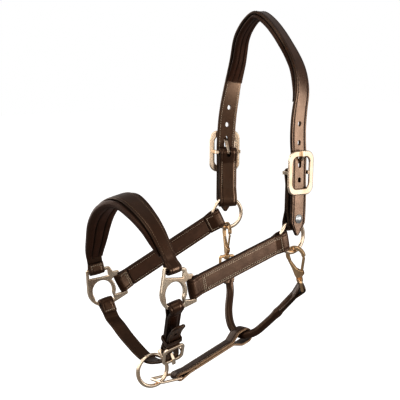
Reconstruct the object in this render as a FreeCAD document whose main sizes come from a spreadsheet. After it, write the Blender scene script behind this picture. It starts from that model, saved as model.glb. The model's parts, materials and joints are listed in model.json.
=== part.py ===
import FreeCAD, Part

import math
import os

from FreeCAD import Placement, Rotation, Vector

# A full-size leather headcollar, in millimetres. The horse faces -X, its near (left) side is -Y
# and +Z is up. The origin is where the middle of the crown rests on the poll.
#
# Every strap piece has a local frame: X across the width, Y outward from the horse, Z along the
# run. A strap that turns back on itself is an "eye": a hole round a bar or a ring, then two legs.

SIZES = {
    # leather
    "strap_width": 25.0,
    "narrow_width": 19.0,
    "lash_tab_width": 17.6,
    "leather": 3.0,
    "crown_leather": 4.0,
    "lining_leather": 2.5,
    "crown_pad_width": 25.0,
    "crown_pad_depth": 5.0,
    "nose_end_width": 20.5,
    "nose_pad_width": 38.0,
    "nose_pad_depth": 8.0,
    "lash_radius": 4.6,
    # rings and bars
    "ring_radius": 20.5,
    "ring_wire": 2.5,
    "eye_play": 0.5,
    # crown buckles
    "crown_buckle_width": 44.0,
    "crown_buckle_height": 57.0,
    "crown_buckle_rim": 7.0,
    "crown_buckle_depth": 3.6,
    "crown_bar_radius": 2.2,
    "crown_chape_length": 64.5,
    # chin buckle
    "chin_buckle_width": 30.0,
    "chin_buckle_height": 34.0,
    "chin_buckle_rim": 4.0,
    "chin_buckle_depth": 3.4,
    "chin_bar_radius": 1.9,
    # tongues and stud
    "tongue_width": 3.6,
    "stud_radius": 6.0,
    # halter squares: flat castings with a round window and three strap bars
    "square_depth": 4.4,
    "square_window": 13.8,
    "square_rim": 18.6,
    # link under the chin
    "link_length": 32.0,
    "link_width": 27.0,
    "link_wire": 1.75,
    # snap hooks
    "snap_depth": 4.5,
    "snap_bend": 11.0,
    "snap_wire": 2.25,
    "gate_depth": 1.6,
    "pin_radius": 1.0,
    "spring_radius": 1.5,
    "spring_wire": 0.3,
    "swivel_radius": 2.4,
}

doc = FreeCAD.newDocument("Headcollar")
sheet = doc.addObject("Spreadsheet::Sheet", "Sizes")
for row, (alias, value) in enumerate(SIZES.items(), start=1):
    sheet.set("A%d" % row, alias)
    sheet.set("B%d" % row, str(value))
    sheet.setAlias("B%d" % row, alias)
doc.recompute()

nodes = []


def size(alias):
    """A driving dimension, read back from the sheet."""
    return float(sheet.get(alias))


# ---------------------------------------------------------------- frames and outlines

def local_frame(origin, run, across):
    """A placement whose Z is the run and whose X lies as near to across as it can."""
    z_axis = Vector(run).normalize()
    x_axis = Vector(across) - z_axis * z_axis.dot(across)
    x_axis.normalize()
    return Placement(origin, Rotation(x_axis, z_axis.cross(x_axis), z_axis, "ZXY"))


def yawed(degrees):
    """The fore-and-aft direction of a strap's width, turned about +Z."""
    angle = math.radians(degrees)
    return Vector(math.cos(angle), math.sin(angle), 0)


def in_frame(placement, x, y, z):
    return placement.multVec(Vector(x, y, z))


def direction_in(placement, x, y, z):
    return placement.Rotation.multVec(Vector(x, y, z))


def outline(*steps):
    """Closed outline of flat points: a step is an end point, or (middle, end) of an arc."""
    def flat(point):
        return Vector(point[0], point[1], 0)

    def end_of(step):
        return step if isinstance(step[0], (int, float)) else step[1]

    edges = []
    start = flat(end_of(steps[-1]))
    for step in steps:
        end = flat(end_of(step))
        if step is end_of(step):
            edges.append(Part.LineSegment(start, end))
        else:
            edges.append(Part.Arc(start, flat(step[0]), end))
        start = end
    return edges


def rounded_rectangle(width, height, radius):
    """Closed outline of a rectangle with round corners, about the origin."""
    x, z = width / 2, height / 2
    inset = radius * (1 - math.sqrt(0.5))
    return outline(
        (x, z - radius), ((x - inset, z - inset), (x - radius, z)),
        (-x + radius, z), ((-x + inset, z - inset), (-x, z - radius)),
        (-x, -z + radius), ((-x + inset, -z + inset), (-x + radius, -z)),
        (x - radius, -z), ((x - inset, -z + inset), (x, -z + radius)))


def circle(radius, x=0.0, z=0.0):
    return [Part.Circle(Vector(x, z, 0), Vector(0, 0, 1), radius)]


def on_circle(radius, degrees, x=0.0, z=0.0):
    angle = math.radians(degrees)
    return (x + radius * math.cos(angle), z + radius * math.sin(angle))


def eye_outline(radius, thickness, lead):
    """Right-hand half of an eye's outer edge, from its middle to where the leg starts."""
    outer = radius + thickness
    reach = math.hypot(thickness, lead)
    tangent = math.degrees(math.atan2(lead, thickness) - math.acos(outer / reach))
    return outer, on_circle(outer, tangent / 2), on_circle(outer, tangent), (thickness, lead)


def eye_hole(radius, slack, z, sign):
    """A round hole, or a slot that reaches past z by the slack."""
    if slack == 0:
        return circle(radius, 0, z)
    far = z + sign * slack
    return outline((radius, far), ((0, far + sign * radius), (-radius, far)),
                   (-radius, z), ((0, z - sign * radius), (radius, z)))


# ---------------------------------------------------------------- part-building helpers

def new_body(label, placement):
    body = doc.addObject("PartDesign::Body", label)
    body.Label = label
    body.Placement = placement
    return body


def add_sketch(body, edges, role="XZ_Plane", offset=0.0):
    """A sketch on one of the body's own origin planes, moved along that plane's axis."""
    sketch = body.newObject("Sketcher::SketchObject", body.Label + "_sketch")
    plane = [item for item in body.Origin.OriginFeatures if item.Role == role][0]
    sketch.AttachmentSupport = [(plane, "")]
    sketch.MapMode = "FlatFace"
    normal_sign = -1 if role == "XZ_Plane" else 1
    sketch.AttachmentOffset = Placement(Vector(0, 0, normal_sign * offset), Rotation())
    sketch.addGeometry(edges, False)
    return sketch


def add_pad(body, edges, length, role="XZ_Plane", offset=0.0):
    """Material equally on both sides of the sketch; length is an expression of the sheet."""
    pad = body.newObject("PartDesign::Pad", body.Label + "_pad")
    pad.Profile = add_sketch(body, edges, role, offset)
    pad.SideType = "Symmetric"
    pad.setExpression("Length", length)
    doc.recompute()
    return pad


def add_pocket(body, edges, length, role="XZ_Plane", offset=0.0):
    pocket = body.newObject("PartDesign::Pocket", body.Label + "_pocket")
    pocket.Profile = add_sketch(body, edges, role, offset)
    pocket.SideType = "Symmetric"
    pocket.setExpression("Length", length)
    before = body.Shape.Volume
    doc.recompute()
    if not body.Shape.Volume < before:
        raise RuntimeError("pocket cuts nothing: " + body.Label)
    return pocket


def round_all_edges(body, feature, radius):
    fillet = body.newObject("PartDesign::Fillet", body.Label + "_fillet")
    fillet.Base = (feature, ["Edge%d" % (i + 1) for i in range(len(feature.Shape.Edges))])
    fillet.Radius = radius
    doc.recompute()
    return fillet


def keep(item, label=None):
    """Marks a finished sub-part; its label names its file."""
    if label:
        item.Label = label
    nodes.append(item)
    return item


def plain_feature(label, shape, placement=None):
    feature = doc.addObject("Part::Feature", label)
    feature.Label = label
    feature.Shape = shape
    if placement:
        feature.Placement = placement
    return feature


def ring(label, centre, axis, radius, wire):
    torus = doc.addObject("Part::Torus", label)
    torus.setExpression("Radius1", radius)
    torus.setExpression("Radius2", wire)
    torus.Placement = Placement(centre, Rotation(Vector(0, 0, 1), axis))
    return keep(torus, label)


def pin(label, placement, radius, length):
    """A round pin along local Y, centred on the placement's origin."""
    cylinder = doc.addObject("Part::Cylinder", label)
    cylinder.setExpression("Radius", radius)
    cylinder.Height = length
    lay_down = Placement(Vector(0, -length / 2, 0), Rotation(Vector(1, 0, 0), -90))
    cylinder.Placement = placement.multiply(lay_down)
    return keep(cylinder, label)


# ---------------------------------------------------------------- bands: straps that curve in space

def smooth_curve(points):
    curve = Part.BSplineCurve()
    curve.interpolate([Vector(*point) for point in points])
    return curve


def station(curve, fraction, yaws):
    """Centre, across, outward and along directions at a fraction of the curve."""
    first, last = curve.FirstParameter, curve.LastParameter
    parameter = first + (last - first) * fraction
    along = curve.tangent(parameter)[0]
    place = fraction * (len(yaws) - 1)
    index = min(int(place), len(yaws) - 2)
    across = yaws[index] * (1 - place + index) + yaws[index + 1] * (place - index)
    across = (across - along * along.dot(across)).normalize()
    return curve.value(parameter), across, across.cross(along), along


def band(curve, yaws, thickness, width_at, span=(0.0, 1.0), offset=0.0, count=30):
    """A strap of rectangular section along a curve; width_at gives its width by fraction."""
    sections = []
    for step in range(count + 1):
        fraction = span[0] + (span[1] - span[0]) * step / count
        centre, across, outward, _ = station(curve, fraction, yaws)
        centre = centre + outward * offset
        side = across * (width_at(step / count) / 2)
        face = outward * (thickness / 2)
        corners = [centre + side + face, centre - side + face, centre - side - face,
                   centre + side - face]
        sections.append(Part.makePolygon(corners + corners[:1]))
    return Part.makeLoft(sections, True, True)


def fraction_at_height(curve, height, low, high):
    """The fraction between low and high where the curve has this Z."""
    first, last = curve.FirstParameter, curve.LastParameter
    rising = curve.value(first + (last - first) * high).z > curve.value(first + (last - first) * low).z
    for _ in range(40):
        middle = (low + high) / 2
        above = curve.value(first + (last - first) * middle).z > height
        if above == rising:
            high = middle
        else:
            low = middle
    return (low + high) / 2


def punched_hole(curve, yaws, fraction, width, length):
    """The plug of an oval hole punched through a band, long way along the strap."""
    centre, across, outward, along = station(curve, fraction, yaws)
    half = (length - width) / 2
    plug = Part.Face(Part.Wire([edge.toShape() for edge in eye_hole(width / 2, 2 * half, -half, 1)]))
    plug = plug.extrude(Vector(0, 0, 20))
    plug.translate(Vector(0, 0, -10))
    frame = Rotation(across, along, across.cross(along), "ZXY")
    plug.Placement = Placement(centre, frame).multiply(plug.Placement)
    return plug


# ---------------------------------------------------------------- where things hang

# The near side of the nose hangs a little higher than the far side, as the free strapwork does.
SQUARE_BAR_TILT = 24.0
squares = {
    "near": Placement(Vector(-188.4, -84.4, -320.7),
                      Rotation(Vector(0, 0, 1), 4).multiply(Rotation(Vector(0, 1, 0), 7.4))),
    "far": Placement(Vector(-189.8, 84.5, -352.0),
                     Rotation(Vector(0, 0, 1), -9).multiply(Rotation(Vector(0, 1, 0), -6.0))),
}
ring_centres = {"near": Vector(12, -60, -280), "far": Vector(-4, 60, -263.5)}
side_yaw = {"near": 4.5, "far": -16.0}
outward_sign = {"near": -1, "far": 1}
crown_bars = {"near": Vector(13.5, -60, -195), "far": Vector(-3.6, 60, -178.5)}

NOSE_BAR = (-5.0, 28.6)
CHEEK_BAR = (26.85, 5.0)
JAW_BAR = (3.0, -16.9)
SQUARE_BAR_RADIUS = 2.2

WIRE_SAG = 5.0
CAST_EYE = 3.2


# ---------------------------------------------------------------- turned-back straps

def strap_edges(length, thickness, start, end, inner_gap=None):
    """Outer edge of a doubled strap in (outward, run): eyes round Z = 0 and Z = length.

    start and end are (hole radius, slack). inner_gap is the stretch with no inner leg.
    """
    lead = 15.0
    slack_a, slack_b = start[1], end[1]
    outer_a, mid_a, tip_a, leg_a = eye_outline(start[0], thickness, lead)
    outer_b, mid_b, tip_b, leg_b = eye_outline(end[0], thickness, lead)

    def flip(point):
        return (point[0], length - point[1])

    def left(point):
        return (-point[0], point[1])

    steps = [(outer_a, 0)] if slack_a else []
    steps += [(mid_a, tip_a), leg_a, flip(leg_b), flip(tip_b), (flip(mid_b), (outer_b, length))]
    if slack_b:
        steps.append((outer_b, length + slack_b))
    steps.append(((0, length + slack_b + outer_b), (-outer_b, length + slack_b)))
    if slack_b:
        steps.append((-outer_b, length))
    steps += [(left(flip(mid_b)), left(flip(tip_b))), left(flip(leg_b))]
    if inner_gap:
        low, high = inner_gap
        steps += [(-thickness, high), (0, high), (0, low), (-thickness, low)]
    steps += [left(leg_a), left(tip_a), (left(mid_a), (-outer_a, 0))]
    if slack_a:
        steps.append((-outer_a, -slack_a))
    steps.append(((0, -slack_a - outer_a), (outer_a, -slack_a)))
    return outline(*steps)


def doubled_strap(label, placement, length, width, start, end, inner_gap=None):
    """A strap folded round something at both ends and sewn to itself."""
    body = new_body(label, placement)
    edges = strap_edges(length, size("leather"), start, end, inner_gap)
    edges += eye_hole(start[0], start[1], 0, -1)
    edges += eye_hole(end[0], end[1], length, 1)
    add_pad(body, edges, "Sizes." + width, "YZ_Plane")
    return body


def eye_end(placement, radius, thickness, width, outer_leg, turn_back):
    """The turned-back end of a longer strap, as a plain solid: eye, outer leg and short return."""
    outer, mid, tip, leg = eye_outline(radius, thickness, 13.0)
    step_in = [(0, outer_leg), (0, turn_back)] if outer_leg != turn_back else []
    steps = [((0, -outer), (outer, 0)), (mid, tip), leg, (thickness, outer_leg)] + step_in
    steps += [(-thickness, turn_back), (-leg[0], leg[1]), (-tip[0], tip[1]),
              ((-mid[0], mid[1]), (-outer, 0))]
    face = Part.Face(Part.Wire([edge.toShape() for edge in outline(*steps)]))
    hole = Part.Face(Part.Wire([circle(radius)[0].toShape()]))
    solid = face.cut(hole).extrude(Vector(0, 0, width))
    solid.translate(Vector(0, 0, -width / 2))
    stand_up = Rotation(Vector(0, 1, 0), Vector(0, 0, 1), Vector(1, 0, 0), "ZXY")
    solid.Placement = placement.multiply(Placement(Vector(), stand_up)).multiply(solid.Placement)
    return solid


# ---------------------------------------------------------------- metal

def square_edges():
    """The halter square's outline and windows: the noseband above, the cheek behind."""
    rim, window = size("square_rim"), size("square_window")
    tilt = math.radians(SQUARE_BAR_TILT)
    along = (math.sin(tilt), -math.cos(tilt))
    normal = (math.cos(tilt), math.sin(tilt))

    def bar_point(offset, run):
        x = CHEEK_BAR[0] + offset * normal[0] + run * along[0]
        z = CHEEK_BAR[1] + offset * normal[1] + run * along[1]
        return (x, z)

    half = size("strap_width") / 2 + 0.6
    bar = SQUARE_BAR_RADIUS
    body_outline = outline(
        (-19.4, 28.5), ((-18.6, 30.5), (-16.8, 31.0)), (10.5, 30.4), ((13.4, 29.6), (14.6, 27.0)),
        (17.5, 22.6), (22.6, 22.6), ((25.4, 21.4), bar_point(bar, -half - 1.5)),
        bar_point(bar, half + 1.0), (34.8, -11.4), (20.5, -16.9),
        ((17.5, -18.0), (14.0, -19.3)), (-8.0, -19.3),
        (on_circle(rim + 1.8, 214), (-rim - 2.0, 0.5)))
    nose_slot = outline((-16.2, 18.3), (10.4, 18.3), (10.4, 26.3), (-16.2, 26.3))
    sill = JAW_BAR[1] + bar
    round_window = outline(
        ((0, window), on_circle(window, 200)), (-11.6, -8.6), ((-10.6, -12.6), (-7.6, sill)),
        (13.4, sill), ((14.6, -12.6), (13.8, -8.2)), on_circle(window, -18))
    cheek_slot = outline(on_circle(rim, -28), (on_circle(rim, 6), on_circle(rim, 42)),
                         bar_point(-bar, -half), bar_point(-bar, half))
    return body_outline + nose_slot + round_window + cheek_slot


def halter_square(side):
    body = new_body(side + "_halter_square", squares[side])
    pad = add_pad(body, square_edges(), "Sizes.square_depth")
    round_all_edges(body, pad, 1.0)
    return keep(body)


def buckle(label, placement, prefix, rim_y, leg_x):
    """A whole buckle: a broad rim, and a centre bar set back on two short legs."""
    width, height = size(prefix + "_buckle_width"), size(prefix + "_buckle_height")
    rim, depth = size(prefix + "_buckle_rim"), size(prefix + "_buckle_depth")
    bar = size(prefix + "_bar_radius")
    body = new_body(label, placement)
    corner = 0.27 * width
    edges = rounded_rectangle(width, height, corner)
    edges += rounded_rectangle(width - 2 * rim, height - 2 * rim - 2, corner * 0.62)
    pad = add_pad(body, edges, "Sizes.%s_buckle_depth" % prefix, offset=rim_y + depth / 2)
    round_all_edges(body, pad, depth * 0.4)
    leg_depth = rim_y + depth / 2 + bar
    legs = []
    for side in (-1, 1):
        x = side * leg_x
        legs += outline((x + bar, -bar), (x + bar, bar), (x - bar, bar), (x - bar, -bar))
    sketch_offset = leg_depth / 2 - bar
    leg_pad = body.newObject("PartDesign::Pad", label + "_legs")
    leg_pad.Profile = add_sketch(body, legs, "XZ_Plane", sketch_offset)
    leg_pad.SideType = "Symmetric"
    leg_pad.Length = leg_depth
    doc.recompute()
    bar_pad = body.newObject("PartDesign::Pad", label + "_bar")
    bar_pad.Profile = add_sketch(body, circle(bar), "YZ_Plane")
    bar_pad.SideType = "Symmetric"
    bar_pad.Length = 2 * leg_x
    doc.recompute()
    return keep(body)


def tongue(label, placement, prefix, billet, rim_y):
    """A buckle tongue: a hub on the bar, an arm through the strap's hole, a tip over the rim."""
    billet_inner, billet_outer = billet
    bar = size(prefix + "_bar_radius")
    height, rim = size(prefix + "_buckle_height"), size(prefix + "_buckle_rim")
    depth = size(prefix + "_buckle_depth")
    width = size("tongue_width")
    hub = bar + 2.0
    half = width / 2
    top_y = rim_y + depth + 0.25
    rim_low = height / 2 - rim
    tip_z = height / 2 - 0.5
    rise = billet_outer - billet_inner + 2.0
    cross_z = rim_low - (top_y + half - billet_inner) * 0.95
    body = new_body(label, placement)
    edges = outline(
        (billet_inner - 0.6, cross_z - 1.0),
        (billet_inner + rise + 2.6, cross_z + rise - 1.2), (top_y + width, rim_low + 0.2),
        (top_y + width - 0.4, tip_z), ((top_y + half, tip_z + 1.4), (top_y, tip_z)),
        (top_y, rim_low - 0.6), (billet_inner + rise - 1.8, cross_z + rise + 1.2),
        (billet_inner - 2.2, cross_z + 1.6), on_circle(hub, 125),
        (on_circle(hub, 270), on_circle(hub, 62)))
    edges += circle(bar + 0.06)
    add_pad(body, edges, "Sizes.tongue_width", "YZ_Plane")
    return keep(body)


# How far out from each bar the buckle's rim and the strap over the bar lie.
crown_rim_y = 10.6
crown_billet = (6.3, 10.3)
chin_rim_y = 9.1
chin_billet = (5.7, 8.7)
chin_billet_offset = sum(chin_billet) / 2

side_frames = {}
for side in ("near", "far"):
    centre = ring_centres[side]
    axis = yawed(side_yaw[side]).cross(Vector(0, 0, 1))
    ring(side + "_cheek_ring", centre, axis, "Sizes.ring_radius", "Sizes.ring_wire")
    wire_top = centre + Vector(0, 0, size("ring_radius"))
    run = crown_bars[side] - wire_top
    frame = local_frame(wire_top, run, yawed(side_yaw[side]) * outward_sign[side])
    side_frames[side] = frame

    chape = doubled_strap(side + "_crown_chape", frame, size("crown_chape_length"), "strap_width",
                          (size("ring_wire") + 0.9, WIRE_SAG),
                          (size("crown_bar_radius") + size("eye_play"), 0))
    slot_low = size("crown_chape_length") - 6.5
    slot_high = size("crown_chape_length") + 9.0
    add_pocket(chape, outline((3.0, slot_low), (3.0, slot_high), (-3.0, slot_high), (-3.0, slot_low)),
               "4 * Sizes.leather + 6")
    keep(chape)
    bar_frame = frame.multiply(Placement(Vector(0, 0, size("crown_chape_length")), Rotation()))
    buckle(side + "_crown_buckle", bar_frame, "crown", crown_rim_y, 15.8)
    tongue(side + "_crown_tongue", bar_frame, "crown", crown_billet, crown_rim_y)
    halter_square(side)


# ---------------------------------------------------------------- crown

crown_path = [
    (12.3, -68.6, -277), (14, -68.6, -250), (14.5, -68.5, -225), (14.15, -68.35, -195),
    (14.4, -68.4, -180), (12.7, -68.6, -156), (12.3, -69.2, -133), (14.5, -69.7, -110),
    (17.5, -69, -94), (19, -66.8, -80), (18, -62.5, -62), (13.5, -54.2, -42), (9, -45, -26),
    (6.5, -30, -9.5), (4, -15, 2.5), (2, 0, 8), (1, 15, 2.5), (1.5, 30, -9.5), (4.8, 45, -26),
    (8.6, 54.4, -43), (11, 61.5, -60), (11, 66.2, -78), (8.8, 69, -98), (6, 69.6, -113.5),
    (2.6, 68.9, -130), (-0.3, 67.8, -150), (-1.3, 68, -168), (-1.3, 68, -190), (-1.3, 68, -212),
    (-1.4, 68.2, -240), (-1.5, 68.2, -262.5)]
crown_curve = smooth_curve(crown_path)
crown_yaws = [yawed(angle) for angle in (
    4.5, 4.5, 4.5, 4.5, 3, 4, 10, 18, 24, 26, 25, 22, 18, 12, -1, -11, -16, -16, -16, -16, -16)]


def crown_width(fraction):
    """Full width, drawn in to a point at both billet tips."""
    edge = min(fraction, 1 - fraction)
    taper = min(1.0, 0.22 + edge / 0.03)
    return size("strap_width") * taper


crown_blank = band(crown_curve, crown_yaws, size("crown_leather"), crown_width, count=60)
near_holes = [-132.0, -156.5, -181.0, -204.5]
far_holes = [-118.5, -142.0, -165.0, -190.0]
plugs = []
for heights, low, high, tongue_height in ((near_holes, 0.0, 0.45, -181.0),
                                          (far_holes, 0.55, 1.0, -165.0)):
    for height in heights:
        place = fraction_at_height(crown_curve, height, low, high)
        wide, tall = (5.4, 16.0) if height == tongue_height else (4.4, 8.6)
        plugs.append(punched_hole(crown_curve, crown_yaws, place, wide, tall))
stud_place = fraction_at_height(crown_curve, -255.0, 0.0, 0.45)
stud_shank = 1.6
plugs.append(punched_hole(crown_curve, crown_yaws, stud_place, 2 * stud_shank + 0.2, 2 * stud_shank + 0.21))
keep(plain_feature("crown_strap", crown_blank.cut(Part.makeCompound(plugs)).Solids[0]))

pad_span = (fraction_at_height(crown_curve, -106, 0.0, 0.45),
            fraction_at_height(crown_curve, -84, 0.55, 1.0))
pad_offset = -(size("crown_leather") + size("crown_pad_depth")) / 2 - 0.7
keep(plain_feature("crown_padding", band(
    crown_curve, crown_yaws, size("crown_pad_depth"), lambda _: size("crown_pad_width"),
    span=pad_span, offset=pad_offset, count=40)))

centre, across, outward, along = station(crown_curve, stud_place, crown_yaws)
stud_body = new_body("crown_stud", Placement(
    centre + outward * (size("crown_leather") / 2 + 0.15),
    Rotation(across, along, outward * -1, "ZXY")))
stud_profile = outline((stud_shank, 0), (stud_shank, 3.6), (0, 3.6), (0, -2.8),
                       ((3.6, -2.1), (size("stud_radius"), -0.4)), (size("stud_radius"), 0))
stud_sketch = add_sketch(stud_body, stud_profile)
stud_turn = stud_body.newObject("PartDesign::Revolution", "crown_stud_turn")
stud_turn.Profile = stud_sketch
stud_turn.ReferenceAxis = (stud_sketch, ["V_Axis"])
stud_turn.Angle = 360
keep(stud_body)


# ---------------------------------------------------------------- cheeks

for side in ("near", "far"):
    square = squares[side]
    bar = in_frame(square, CHEEK_BAR[0], 0, CHEEK_BAR[1])
    centre = ring_centres[side]
    width_axis = yawed(side_yaw[side])
    towards = bar - centre
    flat_reach = Vector(width_axis * towards.dot(width_axis) + Vector(0, 0, towards.z)).normalize()
    wire = centre + flat_reach * size("ring_radius")
    tilt = math.radians(SQUARE_BAR_TILT)
    bar_axis = direction_in(square, math.sin(tilt), 0, -math.cos(tilt))
    wire_axis = Vector(flat_reach.z * -1 * width_axis.x, flat_reach.z * -1 * width_axis.y,
                       flat_reach.dot(width_axis))
    across = (bar_axis + wire_axis).normalize() * outward_sign[side]
    run = wire - bar
    frame = local_frame(bar, run, across)
    length = run.Length
    turn = 16.0
    strap = doubled_strap(side + "_cheek_strap", frame, length, "strap_width", (CAST_EYE + 0.8, 0),
                          (size("ring_wire") + 1.3, WIRE_SAG), (turn, length - turn))
    keep(strap)
    lining = doc.addObject("Part::Box", side + "_cheek_lining")
    lining.setExpression("Length", "Sizes.strap_width")
    lining.setExpression("Width", "Sizes.lining_leather")
    lining.Height = length - 2 * turn - 1.0
    lining.Placement = frame.multiply(Placement(
        Vector(-size("strap_width") / 2, -size("lining_leather") - 0.05, turn + 0.5), Rotation()))
    keep(lining, side + "_cheek_lining")


# ---------------------------------------------------------------- noseband

def bar_frame_of(side, bar, run, across_sign):
    """An eye's frame on one of the square's horizontal bars."""
    square = squares[side]
    across = direction_in(square, across_sign, 0, 0)
    return local_frame(in_frame(square, bar[0], 0, bar[1]), run, across)


NOSE_LEG = 17.0
nose_near = bar_frame_of("near", NOSE_BAR, Vector(-2, 9, 20), -1)
nose_far = bar_frame_of("far", NOSE_BAR, Vector(-4, -2.5, 20), 1)
leather = size("leather")
nose_start = in_frame(nose_near, 0, leather / 2, NOSE_LEG - 1)
nose_end = in_frame(nose_far, 0, leather / 2, NOSE_LEG - 1)
nose_path = [
    nose_start, in_frame(nose_near, 0, leather / 2, NOSE_LEG + 4),
    (-197.5, -70, -259.5), (-199.5, -57, -243.5), (-201.5, -29, -225.5), (-203, 0, -216),
    (-204.5, 25, -219.5), (-206, 46, -232), (-206.5, 62, -251), (-204.5, 74.5, -275),
    in_frame(nose_far, 0, leather / 2, NOSE_LEG + 4), nose_end]
nose_curve = smooth_curve(nose_path)
near_across = direction_in(squares["near"], 1, 0, 0)
far_across = direction_in(squares["far"], 1, 0, 0)
nose_lean = Vector(0.978, 0, 0.208)
nose_yaws = [near_across, (near_across + nose_lean).normalize(), nose_lean, nose_lean,
             (far_across + nose_lean).normalize(), far_across]


def swelling(fraction, end_width, middle_width):
    """Width at the squares, growing to the middle width over the nose."""
    return end_width + (middle_width - end_width) * math.sin(math.pi * fraction) ** 0.8


noseband = band(nose_curve, nose_yaws, leather,
                lambda fraction: swelling(fraction, size("nose_end_width"), size("strap_width")))
for frame in (nose_near, nose_far):
    noseband = noseband.fuse(eye_end(frame, CAST_EYE + 0.2, 2.6, size("nose_end_width"), NOSE_LEG, 15.0))
keep(plain_feature("noseband_strap", noseband.removeSplitter()))


keep(plain_feature("noseband_padding", band(
    nose_curve, nose_yaws, size("nose_pad_depth"),
    lambda fraction: swelling(fraction, size("nose_end_width"), size("nose_pad_width")),
    span=(0.04, 0.96), offset=-(leather + size("nose_pad_depth")) / 2 - 0.4)))


# ---------------------------------------------------------------- jaw strap and its adjuster

chin_bar = Vector(-162, -32.6, -405.0)
near_jaw_bar = in_frame(squares["near"], JAW_BAR[0], 0, JAW_BAR[1])
chin_run = chin_bar - near_jaw_bar
chin_frame = local_frame(near_jaw_bar, chin_run, Vector(0.99, 0, 0.09))
chin_length = chin_run.Length
chin_chape = doubled_strap("chin_chape", chin_frame, chin_length, "narrow_width", (CAST_EYE + 1.2, 0),
                           (size("chin_bar_radius") + size("eye_play"), 0))
add_pocket(chin_chape, outline((2.8, chin_length - 6), (2.8, chin_length + 8),
                               (-2.8, chin_length + 8), (-2.8, chin_length - 6)),
           "4 * Sizes.leather + 6")
keep(chin_chape)
chin_bar_frame = chin_frame.multiply(Placement(Vector(0, 0, chin_length), Rotation()))
buckle("chin_buckle", chin_bar_frame, "chin", chin_rim_y, 12.9)
tongue("chin_tongue", chin_bar_frame, "chin", chin_billet, chin_rim_y)

JAW_LEG = 17.0
jaw_far = bar_frame_of("far", JAW_BAR, Vector(3, -14, -21), -1)
jaw_path = [
    in_frame(jaw_far, 0, leather / 2, JAW_LEG - 1), in_frame(jaw_far, 0, leather / 2, JAW_LEG + 4),
    (-182, 61, -393), (-178.5, 47, -404.5), (-174.5, 32, -415.5), (-170.5, 17, -425),
    (-167, 1, -430), (-164, -14, -428),
    in_frame(chin_bar_frame, 0, chin_billet_offset, 14),
    in_frame(chin_bar_frame, 0, chin_billet_offset, 0),
    in_frame(chin_bar_frame, 0, chin_billet_offset, -14),
    in_frame(chin_bar_frame, 0, chin_billet_offset - 0.4, -28),
    in_frame(chin_bar_frame, 0, chin_billet_offset + 1.5, -42),
    in_frame(chin_bar_frame, 0, chin_billet_offset + 7, -58)]
jaw_curve = smooth_curve(jaw_path)
jaw_far_across = direction_in(squares["far"], 1, 0, 0)
chin_across = direction_in(chin_frame, 1, 0, 0)
jaw_yaws = [jaw_far_across, Vector(0.99, 0, 0.1), Vector(1, 0, 0.02), chin_across, chin_across]


def jaw_width(fraction):
    """Full width, rounded off at the billet's tip."""
    return size("narrow_width") * min(1.0, 0.45 + (1 - fraction) / 0.05)


jaw_band = band(jaw_curve, jaw_yaws, leather, jaw_width, count=36)
jaw_plugs = []
for height in (-413.5, -390.0, -377.0):
    place = fraction_at_height(jaw_curve, height, 0.6, 1.0)
    wide, tall = (5.4, 15.0) if height == -413.5 else (4.0, 7.5)
    jaw_plugs.append(punched_hole(jaw_curve, jaw_yaws, place, wide, tall))
jaw_end = eye_end(jaw_far, CAST_EYE + 0.6, leather, size("narrow_width"), JAW_LEG, 15.0)
keep(plain_feature("jaw_strap", jaw_band.fuse(jaw_end).cut(Part.makeCompound(jaw_plugs))))

# The sliding keeper holds the billet's end down on the chape.
keeper_place = chin_frame.multiply(Placement(Vector(0, 2.8, chin_length - 24.5), Rotation()))
keeper = new_body("chin_keeper", keeper_place)
keeper_edges = rounded_rectangle(24.0, 16.6, 2.6) + rounded_rectangle(20.4, 13.0, 1.2)
keeper_pad = keeper.newObject("PartDesign::Pad", "chin_keeper_pad")
keeper_pad.Profile = add_sketch(keeper, keeper_edges, "XY_Plane")
keeper_pad.SideType = "Symmetric"
keeper_pad.Length = 9.0
keep(keeper)


# ---------------------------------------------------------------- chin ring, link and under-jaw strap

CHIN_RING_CENTRE = Vector(-166, 0, -443)
ring("chin_ring", CHIN_RING_CENTRE, yawed(-6).cross(Vector(0, 0, 1)), "Sizes.ring_radius",
     "Sizes.ring_wire")

# The link is a closed wire loop: its front bar is in the ring, its rear bar in leather.
link_bar = Vector(-128.5, 0, -458)
link_long, link_wide, link_wire = size("link_length"), size("link_width"), size("link_wire")
link_across = Vector(0, 1, -0.09).normalize()
link_turn = Rotation(Vector(1, 0, 0), link_across, Vector(1, 0, 0).cross(link_across), "XYZ")
link = new_body("chin_link", Placement(link_bar + Vector(-link_long / 2, 0, 0), link_turn))
link_pipe = link.newObject("PartDesign::AdditivePipe", "chin_link_pipe")
link_pipe.Profile = add_sketch(link, circle(link_wire, link_long / 2, 0), "XZ_Plane")
link_pipe.Spine = add_sketch(link, rounded_rectangle(link_long, link_wide, 3.6), "XY_Plane")
keep(link)

loop_axis = Vector(-21.5, 0, -420.3)
under_run = loop_axis - link_bar
under_frame = local_frame(link_bar, under_run, link_across)
keep(doubled_strap("under_jaw_strap", under_frame, under_run.Length - 8.0, "narrow_width",
                   (link_wire + size("eye_play"), 0), (7.2, 8.0)))


# ---------------------------------------------------------------- snap hooks

snap_frames = {
    "near": local_frame(Vector(17.3, -60.4, -299.8), Vector(-0.253, -0.046, 0.966), yawed(-60)),
    "far": local_frame(Vector(-4.0, 60.0, -284.0), Vector(0.03, 0.02, 1.0), yawed(-106)),
}
# The eyes have swivelled round from their hooks.
eye_frames = {side: snap_frames[side].multiply(Placement(Vector(), Rotation(Vector(0, 0, 1), turn)))
              for side, turn in (("near", -62), ("far", -74))}
PIVOT = (4.2, -31.0)
EYE_TOP = -40.6
EYE_BAR = -53.0
bend, wire = size("snap_bend"), size("snap_wire")
bend_z = size("ring_wire") + 0.6 + wire - bend


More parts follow.
